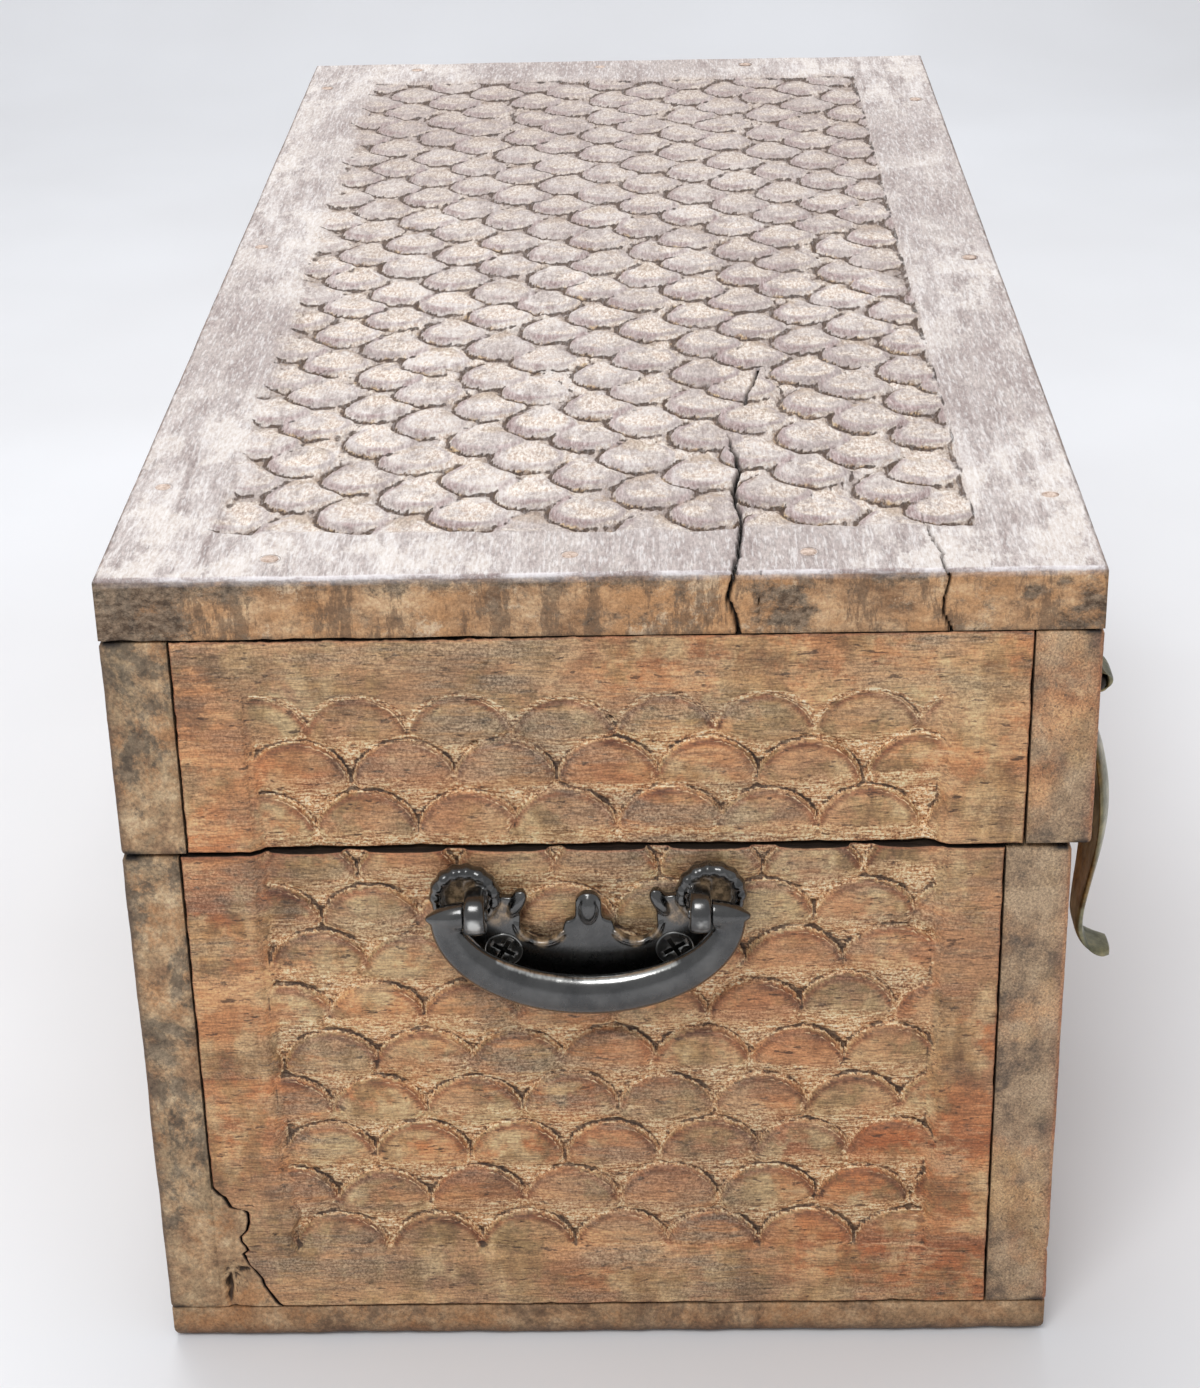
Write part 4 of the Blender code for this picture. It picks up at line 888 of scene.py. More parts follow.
def build_boards():
    """The boards of body and lid; only the near end has its own joints, cracks and dirt."""
    whole_board("left_end_board", "_carved", LEFT_FACE, (0.62, 0.62),
                end_surface(LEFT_END_ROWS, 11), "carved_wood", joints=SIDES,
                waves={"u1": left_joint, "u0": ragged_side(2, 0, 0.5),
                       "v0": ragged_side(5, 0, 0.6, 9), "v1": ragged_side(6, 0.1, 0.45)})
    whole_board("lid_left_rail", "_carved", LEFT_FACE, (0.5, 0.5),
                end_surface(LEFT_END_ROWS[:3], 11), "carved_wood", joints=SIDES,
                waves={"u1": ragged_side(3, 0.05, 0.5, 4), "u0": ragged_side(4, 0, 0.5),
                       "v0": ragged_side(7, 0.1, 0.4), "v1": top_joint})
    rows = lattice_rows(184.2, 13.35, 12, 80.2, 23.7, -11.8, 3)
    for node in ("right_end_board", "lid_right_rail"):
        whole_board(node, "_carved", RIGHT_FACE, (0.85, 0.85), end_surface(rows, 21), "carved_wood",
                    joints=SIDES)
    low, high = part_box("lid_top_board")
    split = 102 * MM
    top = dict(thick=high.z - low.z, surface=top_surface(), finish="worn_top_wood", arris=1.1 * MM)
    finer = ((-44.5 * MM, -35.5 * MM, 2), (-35.5 * MM, -28.5 * MM, 3), (-81 * MM, -75 * MM, 3))
    board_piece("lid_top_board_near", "lid_top_board", TOP_FACE, (low.y, high.y, 0.72 * MM),
                (split, HALF_LENGTH, 0.68 * MM), side_step=1.3 * MM, butt_sides=("v0",),
                foot=top_board_foot, cracks=top_cracks, dirt=top_end_dirt, finer=finer, **top)
    board_piece("lid_top_board_far", "lid_top_board", TOP_FACE, (low.y, high.y, 0.85 * MM),
                (-HALF_LENGTH, split, 1.5 * MM, 0.9 * MM), side_step=3 * MM, butt_sides=("v1",),
                **top)
    long_side = dict(arris=1.2 * MM, joints=("v0", "v1"))
    rows = lattice_rows(184.2, 13.35, 12, 205.0, 23.7, -11.8, 4)
    for node, face in (("front_board", FRONT_FACE), ("lid_front_rail", LID_FRONT_FACE)):
        whole_board(node, "_carved", face, (1.05, 1.05), front_surface(rows, 31),
                    "carved_front_wood",
                    waves={"v0": ragged_side(12, 0.1, 0.6), "v1": ragged_side(13, 0.1, 0.6)},
                    **long_side)
    for node in ("back_board", "lid_back_rail"):
        whole_board(node, "_plain", BACK_FACE, (2.5, 1.6), plain_surface(41), "grey_edge_wood",
                    waves={"v0": ragged_side(14, 0.1, 0.6), "v1": ragged_side(15, 0.1, 0.6)},
                    **long_side)
    whole_board("base_board", "_plain", BOTTOM_FACE, (3, 1.5), plain_surface(45), "brown_base_wood",
                arris=3.5 * MM, side_step=1.5 * MM,
                waves={side: ragged_side(seed, 0, 0.7, 12) for seed, side in enumerate(SIDES, 61)})


# The left joint of the near end near the bottom: height and place across, in mm
JOINT_LINE = (
    (9.5, 84.0), (10.9, 86.7), (12.2, 87.5), (14.1, 88.5), (17.0, 90.0), (19.2, 90.5),
    (21.5, 91.9), (23.3, 93.4), (27.0, 94.8), (28.1, 93.5), (29.4, 93.9), (30.9, 94.9),
    (32.4, 95.0), (34.3, 93.3), (36.8, 92.6), (39.6, 92.7), (40.7, 93.5), (41.3, 96.9),
    (43.0, 97.6), (44.9, 98.4), (45.5, 99.5), (47.5, 100.9), (50.2, 101.2),
)


def joint_path(z):
    """How far the left joint of the near end runs off from its straight upper part."""
    heights, places = np.array(JOINT_LINE).T * MM
    return np.interp(z, heights, places) - places[-1]


def left_joint(z):
    """The side of the end board along the left joint."""
    return joint_path(z) + ragged_side(1, 0.05, 0.45, 4)(z)


def top_joint(y):
    """Under the top board: worn open along the left half of the near end."""
    left_half = smoothstep(-20 * MM, 40 * MM, y)
    return ragged_side(8, 0, 0.3, 3)(y) + left_half * ragged_side(18, 0, 0.5, 2)(y)


def crack_share(u, inward, path, width):
    """How far a crack is open: path gives its places, as (inward from the arris, across) in mm."""
    way, middle = np.array(path).T * MM
    wander = 0.7 * MM * rough_at(inward, 0.5 * MM + 0 * inward, 3, 1, 91, 5)
    narrow = width * smoothstep(way[-1], way[-1] - 25 * MM, inward) * (inward > way[0])
    gap = (u - np.interp(inward, way, middle) - wander) / np.maximum(narrow, 0.01 * MM)
    return np.exp(-gap ** 2)


# Cracks of the near end: how far open, width, and places as (inward from the arris, across) in mm
CRACKS = (
    # the long crack
    (1.0, 0.42, ((-15.5, -31.8), (-10.9, -30.9), (-7.1, -29.3), (-2.7, -30.4), (0, -30.8),
                 (15, -32), (33.1, -33.4), (42.5, -32.8), (55.4, -31.9), (67.3, -34.2),
                 (82.6, -31.9), (97, -31.7))),
    # the zigzag to its right
    (0.8, 0.24, ((-15.5, -80.2), (-11.6, -78.3), (-7.8, -78.4), (-2.9, -79.6), (0, -78.6),
                 (10.4, -78), (19.3, -76.5), (40, -75.7))),
    # a hairline behind
    (0.8, 0.3, ((112, -36.5), (126.9, -38.9), (141.1, -41), (168, -43.6))),
)


def top_cracks(u, from_end, depth):
    """How far the top board's cracks are open, over its face and down its end."""
    inward = np.where(depth > 0.8 * MM, -depth, from_end)
    return np.maximum.reduce([share * crack_share(u, inward, path, width * MM)
                              for share, width, path in CRACKS])


def top_end_dirt(u, depth):
    """Dirt on the near end of the top board: along the upper arris and in the left corner."""
    uneven = rough_at(u, depth, 14, 6, 33, 3)
    band = (smoothstep(8 * MM, 2.5 * MM, depth + 3.5 * MM * uneven)
            * smoothstep(-45 * MM, -15 * MM, u) * 0.8)
    corner = smoothstep(84 * MM, 104 * MM, u + 6 * MM * uneven)
    patches = smoothstep(10 * MM, -40 * MM, u) * 0.42 + 0.5 * smoothstep(0.0, 0.45, uneven)
    return np.maximum.reduce([band, corner, patches])


def top_board_foot(u, v):
    """The top board's lower arris is broken along the left half of the near end."""
    chips = np.clip(rough_at(u, v, 5, 5, 51, 4) + 0.2, 0, 1)
    return 0.5 * MM * chips * smoothstep(-0.02, 0.04, u)


HANDLE_SIDE = 4.2 * MM
PIVOT_HEIGHT = 131.5 * MM

# Forms of a handle are drawn as (out, side, rise) in mm from the middle of its pivot line
PIVOT_OUT = 8.2                # the pivot line, out from the plate's back
RING_SIDE, RING_RISE = 29.3, 1.8
HOOK_SIDE = 26.65
GRIP_HALF, GRIP_DROP = 34.3, 22.3
SKIN_GRAIN = 0.33 * MM         # voxels of a casting's skin


def tube(sides, steps, place):
    """A tube grown ring by ring and laid along a path: place gives the point at (turn, share)."""
    bm = bmesh.new()
    bmesh.ops.create_circle(bm, cap_ends=False, segments=sides, radius=1.0)
    rim = bm.edges[:]
    for _ in range(steps):
        rim = grow_ring(bm, rim, 1)
    bmesh.ops.holes_fill(bm, edges=[edge for edge in bm.edges if edge.is_boundary], sides=0)
    for vert in bm.verts:
        vert.co = place(math.atan2(vert.co.y, vert.co.x), vert.co.z / steps)
    bmesh.ops.recalc_face_normals(bm, faces=bm.faces)
    return bm


def gather(*parts):
    """One bmesh of several."""
    bm = bmesh.new()
    for part in parts:
        mesh = bpy.data.meshes.new("part")
        part.to_mesh(mesh)
        part.free()
        bm.from_mesh(mesh)
        bpy.data.meshes.remove(mesh)
    return bm


def finished(name, bm):
    """A smooth piece made of a bmesh."""
    mesh = bpy.data.meshes.new(name)
    bm.to_mesh(mesh)
    bm.free()
    mesh.polygons.foreach_set("use_smooth", np.ones(len(mesh.polygons), bool))
    return linked(name, mesh)


def shaped(piece):
    """The piece's mesh with its modifiers applied."""
    graph = bpy.context.evaluated_depsgraph_get()
    mesh = bpy.data.meshes.new_from_object(piece.evaluated_get(graph))
    bpy.data.objects.remove(piece)
    bm = bmesh.new()
    bm.from_mesh(mesh)
    bpy.data.meshes.remove(mesh)
    return bm


def cast(forms):
    """One skin round overlapping forms, rubbed smooth like a casting."""
    piece = finished("form", gather(*forms))
    skin = piece.modifiers.new("skin", "REMESH")
    skin.mode = "VOXEL"
    skin.voxel_size = SKIN_GRAIN
    bm = shaped(piece)
    for _ in range(4):
        bmesh.ops.smooth_vert(bm, verts=bm.verts, factor=0.5,
                              use_axis_x=True, use_axis_y=True, use_axis_z=True)
    return bm


def ball(place, radius, stretch, axis, tilt=0.0):
    """A ball at (out, side, rise), stretched along an axis and tilted round X."""
    bm = bmesh.new()
    bmesh.ops.create_uvsphere(bm, u_segments=20, v_segments=12, radius=radius * MM, matrix=(
        Matrix.Translation(Vector(place) * MM) @ Matrix.Rotation(tilt, 4, "X")
        @ Matrix.Scale(stretch, 4, axis)))
    return bm


def squared(value, power):
    """A sine or cosine made fuller, so that a round section turns squarish."""
    return math.copysign(abs(value) ** power, value)


def slab(outline, thick):
    """A flat outline in (side, rise), in mm, extruded outwards."""
    bm = bmesh.new()
    face = bm.faces.new([bm.verts.new((0, side * MM, rise * MM)) for side, rise in outline])
    grown = bmesh.ops.extrude_face_region(bm, geom=[face])["geom"]
    bmesh.ops.translate(bm, vec=(thick * MM, 0, 0),
                        verts=[item for item in grown if isinstance(item, bmesh.types.BMVert)])
    bmesh.ops.recalc_face_normals(bm, faces=bm.faces)
    return bm


def arc(side, rise, radius, start, end, count):
    """Points of an arc from one angle to another, in degrees."""
    turns = [math.radians(start + (end - start) * k / count) for k in range(count + 1)]
    return [(side + radius * math.cos(turn), rise + radius * math.sin(turn)) for turn in turns]


def plate_half():
    """Half of the back plate's outline in mm, from the finial round to the lower edge."""
    half = [(0.0, 2.2)] + arc(0, -1.0, 3.2, 70, -10, 5)
    half += [(3.3, -4.6), (4.2, -5.2), (5.6, -5.6), (6.1, -7.0), (6.1, -8.4)]
    half += arc(11.4, -5.6, 5.2, 215, 345, 9)
    half += [(16.2, -3.5), (15.6, -0.5), (14.6, 1.4), (15.4, 2.8), (17.2, 2.6), (18.4, 1.0),
             (20.8, 1.4)]
    half += arc(29.3, 1.8, 7.2, 180, 290, 6)
    half += [(29.5, -9.0), (26.2, -13.2), (22.2, -18.6), (12.5, -22.6), (0.0, -24.0)]
    return half


def ring_place(hand):
    """The beaded rim of a ring: open where it runs into the plate."""
    def place(turn, share):
        way = math.radians(-52 + 290 * share)
        knob = 1 + 0.13 * math.cos(way * 15) * math.sin(math.pi * share) ** 0.3
        thick = (1.0 + 0.9 * math.sin(math.pi * share) ** 0.6) * knob
        reach = 6.9 + thick * math.cos(turn)
        return Vector((2.6 + 1.25 * thick * math.sin(turn),
                       hand * (RING_SIDE + reach * math.cos(way)),
                       RING_RISE + reach * math.sin(way))) * MM
    return place


def hook_place(hand):
    """A hook that comes out of the ring and curls down over the pin."""
    def place(turn, share):
        across, deep = 2.5 * squared(math.cos(turn), 0.6), 1.55 * squared(math.sin(turn), 0.6)
        swell = 1 + 0.16 * smoothstep(0.55, 0.9, share) - 0.25 * smoothstep(0.93, 1.0, share)
        if share < 0.25:
            out, rise, tilt = PIVOT_OUT * share / 0.25, 3.9, math.pi / 2
        else:
            tilt = math.radians(90 - 185 * (share - 0.25) / 0.75)
            out, rise = PIVOT_OUT + 3.35 * math.cos(tilt), 0.4 + 3.5 * math.sin(tilt)
        return Vector((out + deep * swell * math.cos(tilt), hand * HOOK_SIDE + across * swell,
                       rise + deep * swell * math.sin(tilt))) * MM
    return place


def handle_plate():
    """The casting: plate, dished rings with beaded rims, hooks, scrolls, leaves and a knob."""
    half = plate_half()
    forms = [slab(half + [(-side, rise) for side, rise in reversed(half) if side > 0], 2.3)]
    for hand in (-1, 1):
        def scroll(turn, share, hand=hand):
            way = math.radians(208 + 150 * share)
            side, rise = 11.4 + 5.9 * math.cos(way), -5.6 + 5.9 * math.sin(way)
            return Vector((2.2 + 0.75 * math.sin(turn), hand * (side + 0.8 * math.cos(turn)),
                           rise + 0.4 * math.cos(turn))) * MM

        dish = bmesh.new()
        middle = Matrix.Translation(Vector((0.9, hand * RING_SIDE, RING_RISE)) * MM)
        bmesh.ops.create_cone(dish, cap_ends=True, segments=40, radius1=7.6 * MM, radius2=6.4 * MM,
                              depth=1.8 * MM, matrix=middle @ Matrix.Rotation(math.pi / 2, 4, "Y"))
        leaf = ball((1.5, hand * 17.1, -0.9), 1.9, 2.1, (0, 0, 1), math.radians(31 * hand))
        forms += [tube(12, 60, ring_place(hand)), tube(16, 30, hook_place(hand)), dish,
                  tube(8, 24, scroll), leaf]
    return cast(forms + [ball((1.3, 0, -2.2), 2.6, 1.7, (0, 0, 1))])


def grip_line(angle):
    """The grip at an angle from its lowest place: side, drop, radius and the slope of its line."""
    side, drop = math.sin(angle) * GRIP_HALF, math.cos(angle) * GRIP_DROP
    slope = math.atan2(side / GRIP_HALF ** 2, drop / GRIP_DROP ** 2)
    return side, drop, 3.1 + 1.95 * math.cos(angle), slope


def bail_ridge(angle):
    """A place on the grip's upper edge, which hands have rubbed bright and which carries a painted
    highlight.
    """
    side, drop, radius, slope = grip_line(angle)
    high = radius * math.sin(1.1) * 1.1
    return (PIVOT_OUT + 0.77 * radius * math.cos(1.1), side - high * math.sin(slope),
            -drop + high * math.cos(slope))


def bail_form():
    """The crescent grip with its ridge, its pointed ends and its pins."""
    def grip(turn, share):
        side, drop, radius, slope = grip_line((2 * share - 1) * math.radians(86))
        ridge = 1 + 0.11 * math.exp(-((turn - 1.15) / 0.6) ** 2)
        flat, high = 0.7 * radius * math.cos(turn) * ridge, radius * math.sin(turn) * ridge
        return Vector((PIVOT_OUT + flat, side - high * math.sin(slope),
                       -drop + high * math.cos(slope))) * MM

    forms = [tube(32, 90, grip)]
    for hand in (-1, 1):
        def horn(turn, share, hand=hand):
            radius = 2.9 * (1 - share ** 2.6) + 0.5
            return Vector((PIVOT_OUT + 0.95 * radius * math.cos(turn),
                           hand * (RING_SIDE + 9.3 * share), -share + radius * math.sin(turn))) * MM

        def pin(turn, share, hand=hand):
            return Vector((PIVOT_OUT + 1.5 * math.cos(turn), hand * (23.6 + 10 * share),
                           1.5 * math.sin(turn))) * MM

        joint = ball((PIVOT_OUT, hand * 33.4, -2.4), 3.5, 0.75, (1, 0, 0))
        forms += [tube(20, 16, horn), tube(12, 4, pin), joint]
    return cast(forms)


def onto_end(bm, side):
    """Lay a form on the left or right end."""
    spin = Matrix.Rotation(math.pi if side < 0 else 0.0, 4, "Z")
    seat = Matrix.Translation((side * (HALF_LENGTH + 0.3 * MM), HANDLE_SIDE, PIVOT_HEIGHT))
    bmesh.ops.transform(bm, verts=bm.verts, matrix=seat @ spin)
    return bm


def near_marks(piece, spots, mark):
    """A mark that is 1 at given places, as (point, reach), and fades away from them."""
    places = places_of(piece.data)
    total = np.zeros(len(places))
    for point, reach in spots:
        near = np.exp(-((places - np.array(point)) ** 2).sum(1) / (reach * MM) ** 2)
        total = np.maximum(total, near)
    set_mark(piece.data, mark, total)


def on_end_point(side, out, across, rise):
    """Where a place of a handle lies on the left or right end."""
    turn = 1 if side > 0 else -1
    return (side * (HALF_LENGTH + out * MM), HANDLE_SIDE + turn * across * MM,
            PIVOT_HEIGHT + rise * MM)


# Dirt in the hollows of a handle plate: side, rise and reach in mm
PLATE_DIRT = ((29.3, 2.5, 5.4), (21.5, -3.0, 3.2), (11.4, -10.9, 1.9), (7.4, -9.3, 1.9),
              (15.4, -8.9, 1.9))


def build_handles():
    for side, end in ((-1, "left"), (1, "right")):
        plate = finished(end + "_handle_plate_cast", onto_end(handle_plate(), side))
        worn = [(on_end_point(side, 12.5, hand * HOOK_SIDE, rise), 3.0)
                for hand in (-1, 1) for rise in (-3.4, -0.4)]
        dirt = [(on_end_point(side, 2.0, hand * across, rise), reach)
                for hand in (-1, 1) for across, rise, reach in PLATE_DIRT]
        near_marks(plate, worn, "worn")
        near_marks(plate, dirt, "dirt")
        dress(plate, "cast_iron", end + "_handle_plate")
        bail = finished(end + "_handle_bail_cast", onto_end(bail_form(), side))
        # The bail's ridge is painted bright: a painted highlight along its upper edge, where hands
        # also rub it.
        ridge = [(on_end_point(side, *bail_ridge(math.radians(angle))), 1.5)
                 for angle in range(-44, 45, 2)]
        near_marks(bail, ridge, "worn")
        dress(bail, "cast_iron", end + "_handle_bail")
        for hand, node in ((-1, end + "_handle_screw_1"), (1, end + "_handle_screw_2")):
            head = onto_end(cross_screw(hand * 20.5, -13.1, 2.4, 4.6, 30 * hand), side)
            dress(finished(node + "_slotted", head), "steel_screw", node)


def spun(bm, points, axis, sides):
    """Turn a line of points round an axis."""
    verts = [bm.verts.new(point) for point in points]
    edges = [bm.edges.new(pair) for pair in zip(verts, verts[1:])]
    bmesh.ops.spin(bm, geom=verts + edges, cent=(0, 0, 0), axis=axis, angle=2 * math.pi,
                   steps=sides, use_merge=True)
    bmesh.ops.remove_doubles(bm, verts=bm.verts, dist=1e-6)
    bmesh.ops.recalc_face_normals(bm, faces=bm.faces)


def cross_screw(across, rise, out, radius, turned):
    """A dished screw head with a bright rim and a cross cut into it."""
    head = bmesh.new()
    profile = ((0.0, -1.5), (radius * 0.6, -1.5), (radius - 0.15, out - 0.35), (radius, out),
               (radius - 0.3, out + 0.25), (radius - 0.75, out - 0.05), (radius * 0.5, out - 0.1),
               (0.0, out - 0.05))
    spun(head, [(height * MM, reach * MM, 0) for reach, height in profile], (1, 0, 0), 40)
    cross = bmesh.new()
    for quarter in (0, 90):
        arm = bmesh.ops.create_cube(cross, size=1.0)["verts"]
        bmesh.ops.scale(cross, vec=(2.4 * MM, radius * 1.25 * MM, 1.15 * MM), verts=arm)
        bmesh.ops.rotate(cross, cent=(0, 0, 0), verts=arm,
                         matrix=Matrix.Rotation(math.radians(quarter + turned), 3, "X"))
        bmesh.ops.translate(cross, vec=(out * MM, 0, 0), verts=arm)
    bm = cut_out(head, cross)
    bmesh.ops.translate(bm, vec=(0, across * MM, rise * MM), verts=bm.verts)
    return bm


def cut_out(bm, cutter):
    """A form with another cut out of it."""
    target, tool = finished("form", bm), finished("tool", cutter)
    cut = target.modifiers.new("cut", "BOOLEAN")
    cut.solver = "EXACT"
    cut.use_self = True
    cut.object = tool
    made = shaped(target)
    bpy.data.objects.remove(tool)
    return made


def turned(profile, sides, axis, place):
    """A round form from (reach, height) points in mm, its height along an axis from a place."""
    bm = bmesh.new()
    spun(bm, [(reach * MM, 0, height * MM) for reach, height in profile], (0, 0, 1), sides)
    turn = Vector((0, 0, 1)).rotation_difference(Vector(axis)).to_matrix().to_4x4()
    bmesh.ops.transform(bm, verts=bm.verts, matrix=Matrix.Translation(place) @ turn)
    return bm


PEG_SETS = {
    "lid_top_pegs": ("lid_top_peg", 12, (0, 0, 1)),
    "base_pegs": ("base_peg", 4, (0, 0, -1)),
    "body_front_pegs": ("body_front_peg", 4, (0, -1, 0)),
    "body_back_pegs": ("body_back_peg", 4, (0, 1, 0)),
    "lid_front_pegs": ("lid_front_peg", 2, (0, -1, 0)),
    "lid_back_pegs": ("lid_back_peg", 2, (0, 1, 0)),
}


def build_pegs():
    """Round pegs, cut off flush, with a dark ring where the hole has opened."""
    profile = ((0.0, 0.1), (1.2, 0.14), (2.1, 0.0), (2.2, -0.2), (2.45, -0.25), (2.6, -0.05),
               (2.6, -0.7), (2.5, -6.0), (0.0, -6.0))
    for name, (stem, count, axis) in PEG_SETS.items():
        nodes = [stem + "_" + str(number) for number in range(1, count + 1)]
        axis, rng = np.array(axis, float), np.random.default_rng(len(name))
        proud = 0.1 * MM if name == "base_pegs" else 0.42 * MM
        across, forms, heads = 1 - np.abs(axis), [], []
        for node in nodes:
            low, high = (np.array(corner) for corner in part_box(node))
            head = np.where(axis > 0, high,
                            np.where(axis < 0, low, (low + high) / 2)) + axis * proud
            heads.append(head)
            peg = turned(profile, 24, axis, head)
            bmesh.ops.scale(peg, vec=tuple(1 - across * rng.uniform(0, 0.12, 3)),
                            space=Matrix.Translation(-Vector(head)), verts=peg.verts)
            forms.append(peg)
        piece = finished(name, gather(*forms))
        offset = places_of(piece.data)[:, None] - np.array(heads)[None]
        away = np.sqrt(((offset * across) ** 2).sum(2)).min(1)
        set_mark(piece.data, "nick", smoothstep(2.0 * MM, 2.2 * MM, away))
        set_mark(piece.data, "pale", 0 * away + (axis[2] > 0))
        dress(piece, "peg_wood", *nodes)


def build_corner():
    """The back board's wood that fills the low left corner of the near end, with a hole in it."""
    low, high = 80 * MM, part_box("back_board")[0].y + 0.05 * MM

    def edge(z):
        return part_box("left_end_board")[1].y + joint_path(z) + 0.15 * MM

    def hollow(y, z, wide, tall):
        return np.exp(-(y / (wide * MM)) ** 2 - (z / (tall * MM)) ** 2)

    def surface(u, v):
        vv = v[:, None]
        y = high - (high - u[None, :]) * (high - edge(vv)) / (high - low)
        rough = rough_at(y, vv, 1.6, 2.4, 82, 4)
        dent = hollow(y - 97.2 * MM, vv - 18.5 * MM, 3.0, 6.5)
        slit = hollow(y - 99.2 * MM - 0.5 * MM * rough, vv - 16 * MM, 0.8, 4.2)
        pit = hollow(y - 94.6 * MM, vv - 21.6 * MM + 0.3 * (y - 94 * MM), 1.3, 0.9)
        height = -(2.0 + 1.2 * rough) * MM * dent - 3.2 * MM * slit - 2.2 * MM * pit
        return height, plain_marks(height)

    def joint(z):
        return low - edge(z) + ragged_side(83, 0, 0.3, 3)(z)

    board_piece("back_board_corner", "back_board", LEFT_FACE, (low, high, 0.4 * MM),
                (10.3 * MM, 47.4 * MM, 0.4 * MM), 6 * MM, surface, "grey_edge_wood",
                arris=0.35 * MM, butt_sides=("u1",), joints=("u0",), waves={"u0": joint})


# Down a hasp's middle: out from the lid, height over the staple, half width, half thickness
HASP_LINE = (
    (3.9, -2.6, 6.0, 0.9), (6.2, -1.7, 6.0, 1.0), (6.8, 0.2, 6.0, 1.0),
    (5.9, 2.0, 6.0, 1.0), (3.9, 2.6, 6.0, 1.0), (2.1, 1.6, 6.0, 1.0),
    (1.6, -0.4, 6.0, 1.0), (1.7, -3.5, 6.0, 1.0), (2.2, -7.5, 6.2, 1.0),
    (3.4, -13.0, 8.5, 1.0), (5.0, -19.5, 11.0, 1.0), (6.2, -27.0, 12.5, 1.0),
    (6.6, -35.0, 12.5, 1.0), (6.0, -44.0, 11.2, 1.0), (4.4, -55.0, 8.6, 1.0),
    (3.1, -64.0, 6.8, 1.05), (3.1, -70.0, 6.4, 1.15), (5.2, -74.5, 6.2, 1.3),
    (8.6, -76.6, 5.4, 1.45), (11.6, -77.0, 3.8, 1.2),
)


def smooth_line(points, share):
    """A place on a smooth line through points, for a share from 0 to 1."""
    points = np.array(points, float)
    at = share * (len(points) - 1)
    start = min(int(at), len(points) - 2)
    t = at - start
    a, b, c, d = (points[min(max(start + k, 0), len(points) - 1)] for k in (-1, 0, 1, 2))
    return 0.5 * (2 * b + (c - a) * t + (2 * a - 5 * b + 4 * c - d) * t * t
                  + (3 * b - a - 3 * c + d) * t ** 3)


def line_way(points, share):
    """The direction in which such a line runs, by its first two values."""
    way = smooth_line(points, min(share + 0.004, 1)) - smooth_line(points, max(share - 0.004, 0))
    return way[:2] / np.hypot(*way[:2])


def hasp_form(pivot):
    """The strap: its eye, its crowned leaf and its curled foot."""
    def place(turn, share):
        out, rise, wide, thick = smooth_line(HASP_LINE, share)
        way = line_way(HASP_LINE, share)
        across, deep = squared(math.cos(turn), 0.55), squared(math.sin(turn), 0.55) * thick
        close = 1 - 0.8 * smoothstep(0.985, 1.0, share) ** 2
        crown = 2.4 * max(0.0, 2 * wide / 12.5 - 1) * (0.5 - across ** 2)
        return Vector((across * wide * close, -(out - deep * close * way[1] + crown),
                       rise - deep * close * way[0])) * MM + pivot
    return tube(36, 150, place)


# The wire of a staple: side and out from the lid, in mm
STAPLE_LINE = ((8.6, -11.5), (8.6, -6.0), (8.6, 0.8), (8.2, 3.0), (6.6, 4.2), (3.0, 4.2),
               (-3.0, 4.2), (-6.6, 4.2), (-8.2, 3.0), (-8.6, 0.8), (-8.6, -6.0), (-8.6, -11.5))
WIRE_RADIUS = 1.4


def staple_form(pivot):
    def place(turn, share):
        side, out = smooth_line(STAPLE_LINE, share)
        way = line_way(STAPLE_LINE, share)
        reach = WIRE_RADIUS * math.cos(turn)
        return Vector((side + reach * way[1], -(out - reach * way[0]),
                       WIRE_RADIUS * math.sin(turn))) * MM + pivot
    return tube(14, 70, place)


def build_hasps():
    profile = ((0.0, 4.5), (1.4, 4.4), (2.4, 4.0), (3.0, 3.5), (3.3, 2.9), (4.2, 2.5), (4.5, 2.0),
               (4.5, 0.2), (3.0, -0.2), (2.0, -1.0), (2.0, -8.8), (0.0, -8.8))
    for label in ("left", "right"):
        low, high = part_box(label + "_hasp_staple")
        pivot = Vector(((low.x + high.x) / 2, LID_FRONT, (low.z + high.z) / 2))
        strap = finished(label + "_hasp_strap_worn", hasp_form(pivot))
        places = places_of(strap.data)
        set_mark(strap.data, "inner", smoothstep(6.4 * MM, 4.0 * MM, LID_FRONT - places[:, 1])
                 * (places[:, 2] > pivot.z - 62 * MM))
        dress(strap, "old_brass", label + "_hasp_strap")
        staple = finished(label + "_hasp_staple_wire", staple_form(pivot))
        dress(staple, "dark_iron", label + "_hasp_staple")
        low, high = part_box(label + "_catch_stud")
        place = Vector(((low.x + high.x) / 2, BODY_FRONT, (low.z + high.z) / 2))
        stud = finished(label + "_catch_stud_turned", turned(profile, 32, (0, -1, 0), place))
        dress(stud, "old_brass", label + "_catch_stud")


def dress_nodes():
    """Give the nodes that still show the finish of their own slot."""
    for node in frame["nodes"].values():
        for slot_name, finish in FINISHES.items():
            if (not node.hide_render and node.data.materials
                    and slot_name in node.data.materials[0].name):
                node.data.materials[0] = finish


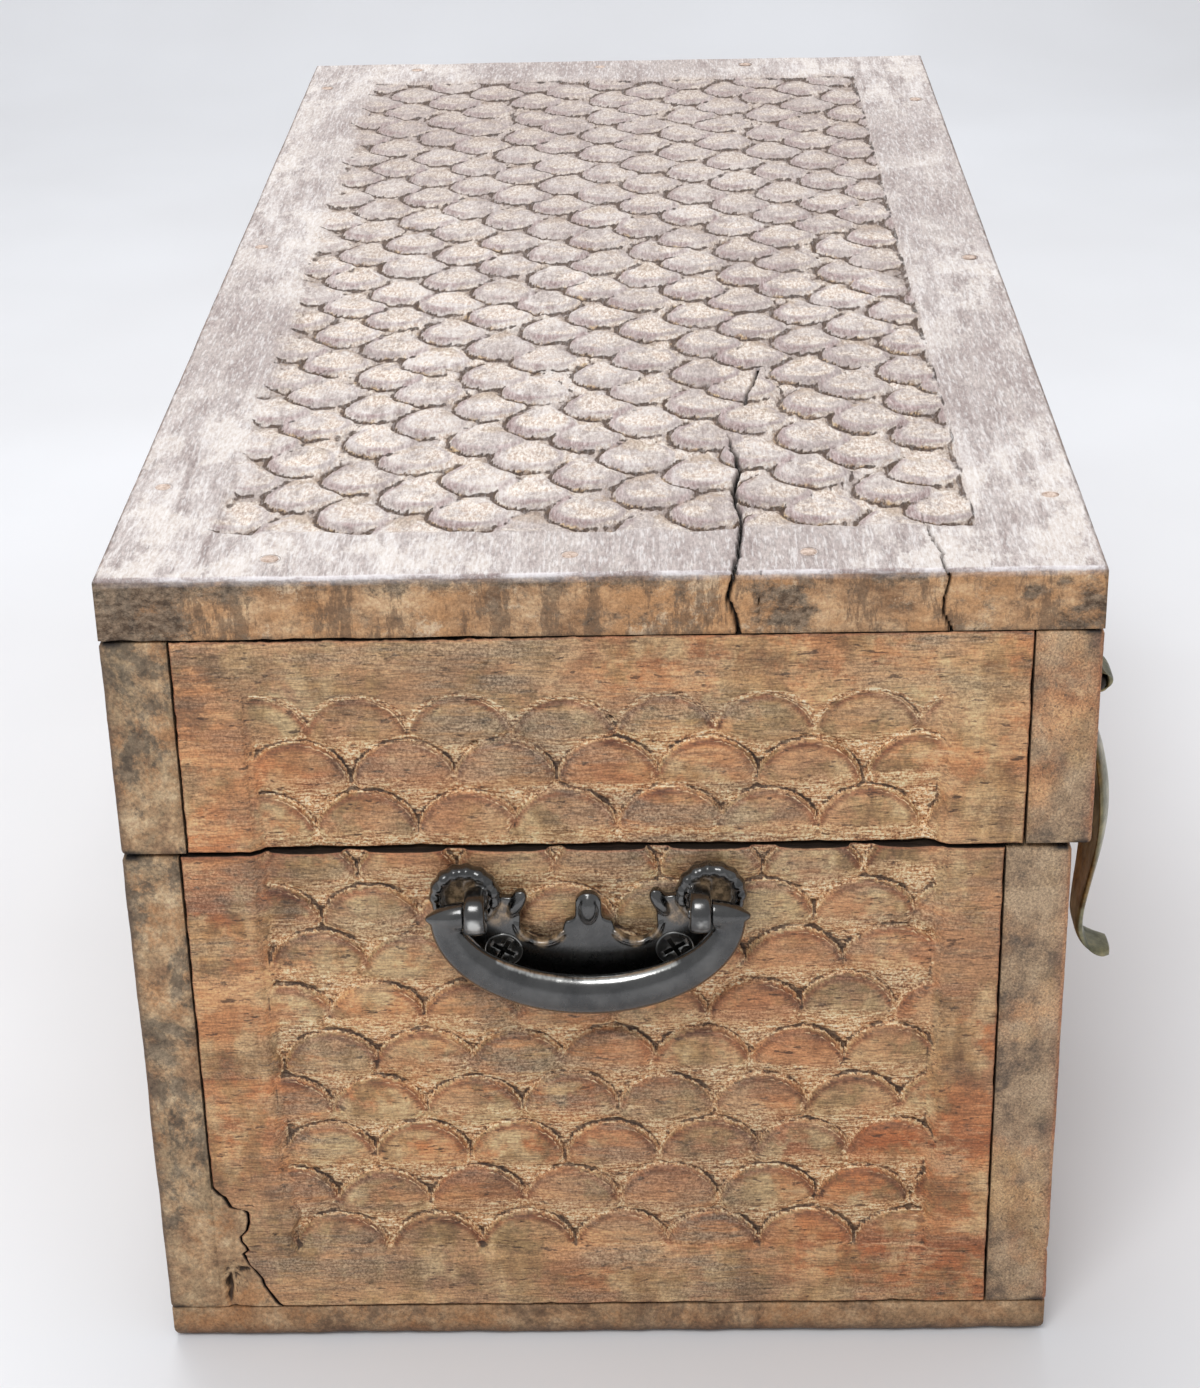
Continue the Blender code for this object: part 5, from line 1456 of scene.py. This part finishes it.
def pale_sweep():
    """White floor that curves up into a backdrop behind the chest."""
    bend, rise = 1.0, 0.8
    bm = bmesh.new()
    bmesh.ops.create_grid(bm, x_segments=60, y_segments=2, size=3.0)
    for vert in bm.verts:
        past = vert.co.x - bend
        if past > 0:
            turn = min(past / rise, 1.0) * math.pi / 2
            vert.co.x = bend + rise * math.sin(turn) * 0.64
            vert.co.z = rise * 0.64 * (1 - math.cos(turn)) + max(0.0, past - rise)
    sweep = finished("floor_sweep", bm)
    f = Finish("pale_floor", rough=0.9)
    f.colour = f.ramp(f.noise(3, 3), (0.3, (226, 226, 228)), (0.7, (236, 237, 240)))
    sweep.data.materials.append(f.done())


def soft_light():
    """A pale sky and two softboxes."""
    world = bpy.data.worlds.new("soft_studio")
    bpy.context.scene.world = world
    world.use_nodes = True
    sky = world.node_tree.nodes["Background"]
    sky.inputs["Color"].default_value = (0.95, 0.97, 1.0, 1.0)
    sky.inputs["Strength"].default_value = 0.57
    for name, place, aim, size, power in (
            ("high_softbox", (0.45, 0.1, 1.35), (0.0, 0, 0.15), 0.8, 10),
            ("front_softbox", (-0.95, 0.2, 1.15), (-0.2, 0, 0.12), 0.5, 7.0)):
        lamp = bpy.data.lights.new(name, "AREA")
        lamp.size, lamp.energy = size, power
        holder = linked(name, lamp)
        holder.location = place
        way = Vector(aim) - Vector(place)
        holder.rotation_euler = way.to_track_quat("-Z", "Y").to_euler()


def photo_camera():
    """The photo's own view, fitted to the near end and the top."""
    camera = bpy.data.cameras.new("camera")
    camera.sensor_width = 36
    camera.lens = 73.59
    camera.clip_start, camera.clip_end = 0.02, 20
    holder = linked("camera", camera)
    turn = Matrix(((0.014816, 0.438125, -0.898792),
                   (-0.999661, -0.012737, -0.022687),
                   (-0.021388, 0.898824, 0.437788)))
    holder.matrix_world = Matrix.Translation((-0.8318, -0.0146, 0.4714)) @ turn.to_4x4()
    bpy.context.scene.camera = holder


build_boards()
build_corner()
build_pegs()
build_hasps()
build_handles()
dress_nodes()
pale_sweep()
soft_light()
photo_camera()
bpy.context.scene.view_settings.view_transform = "Standard"
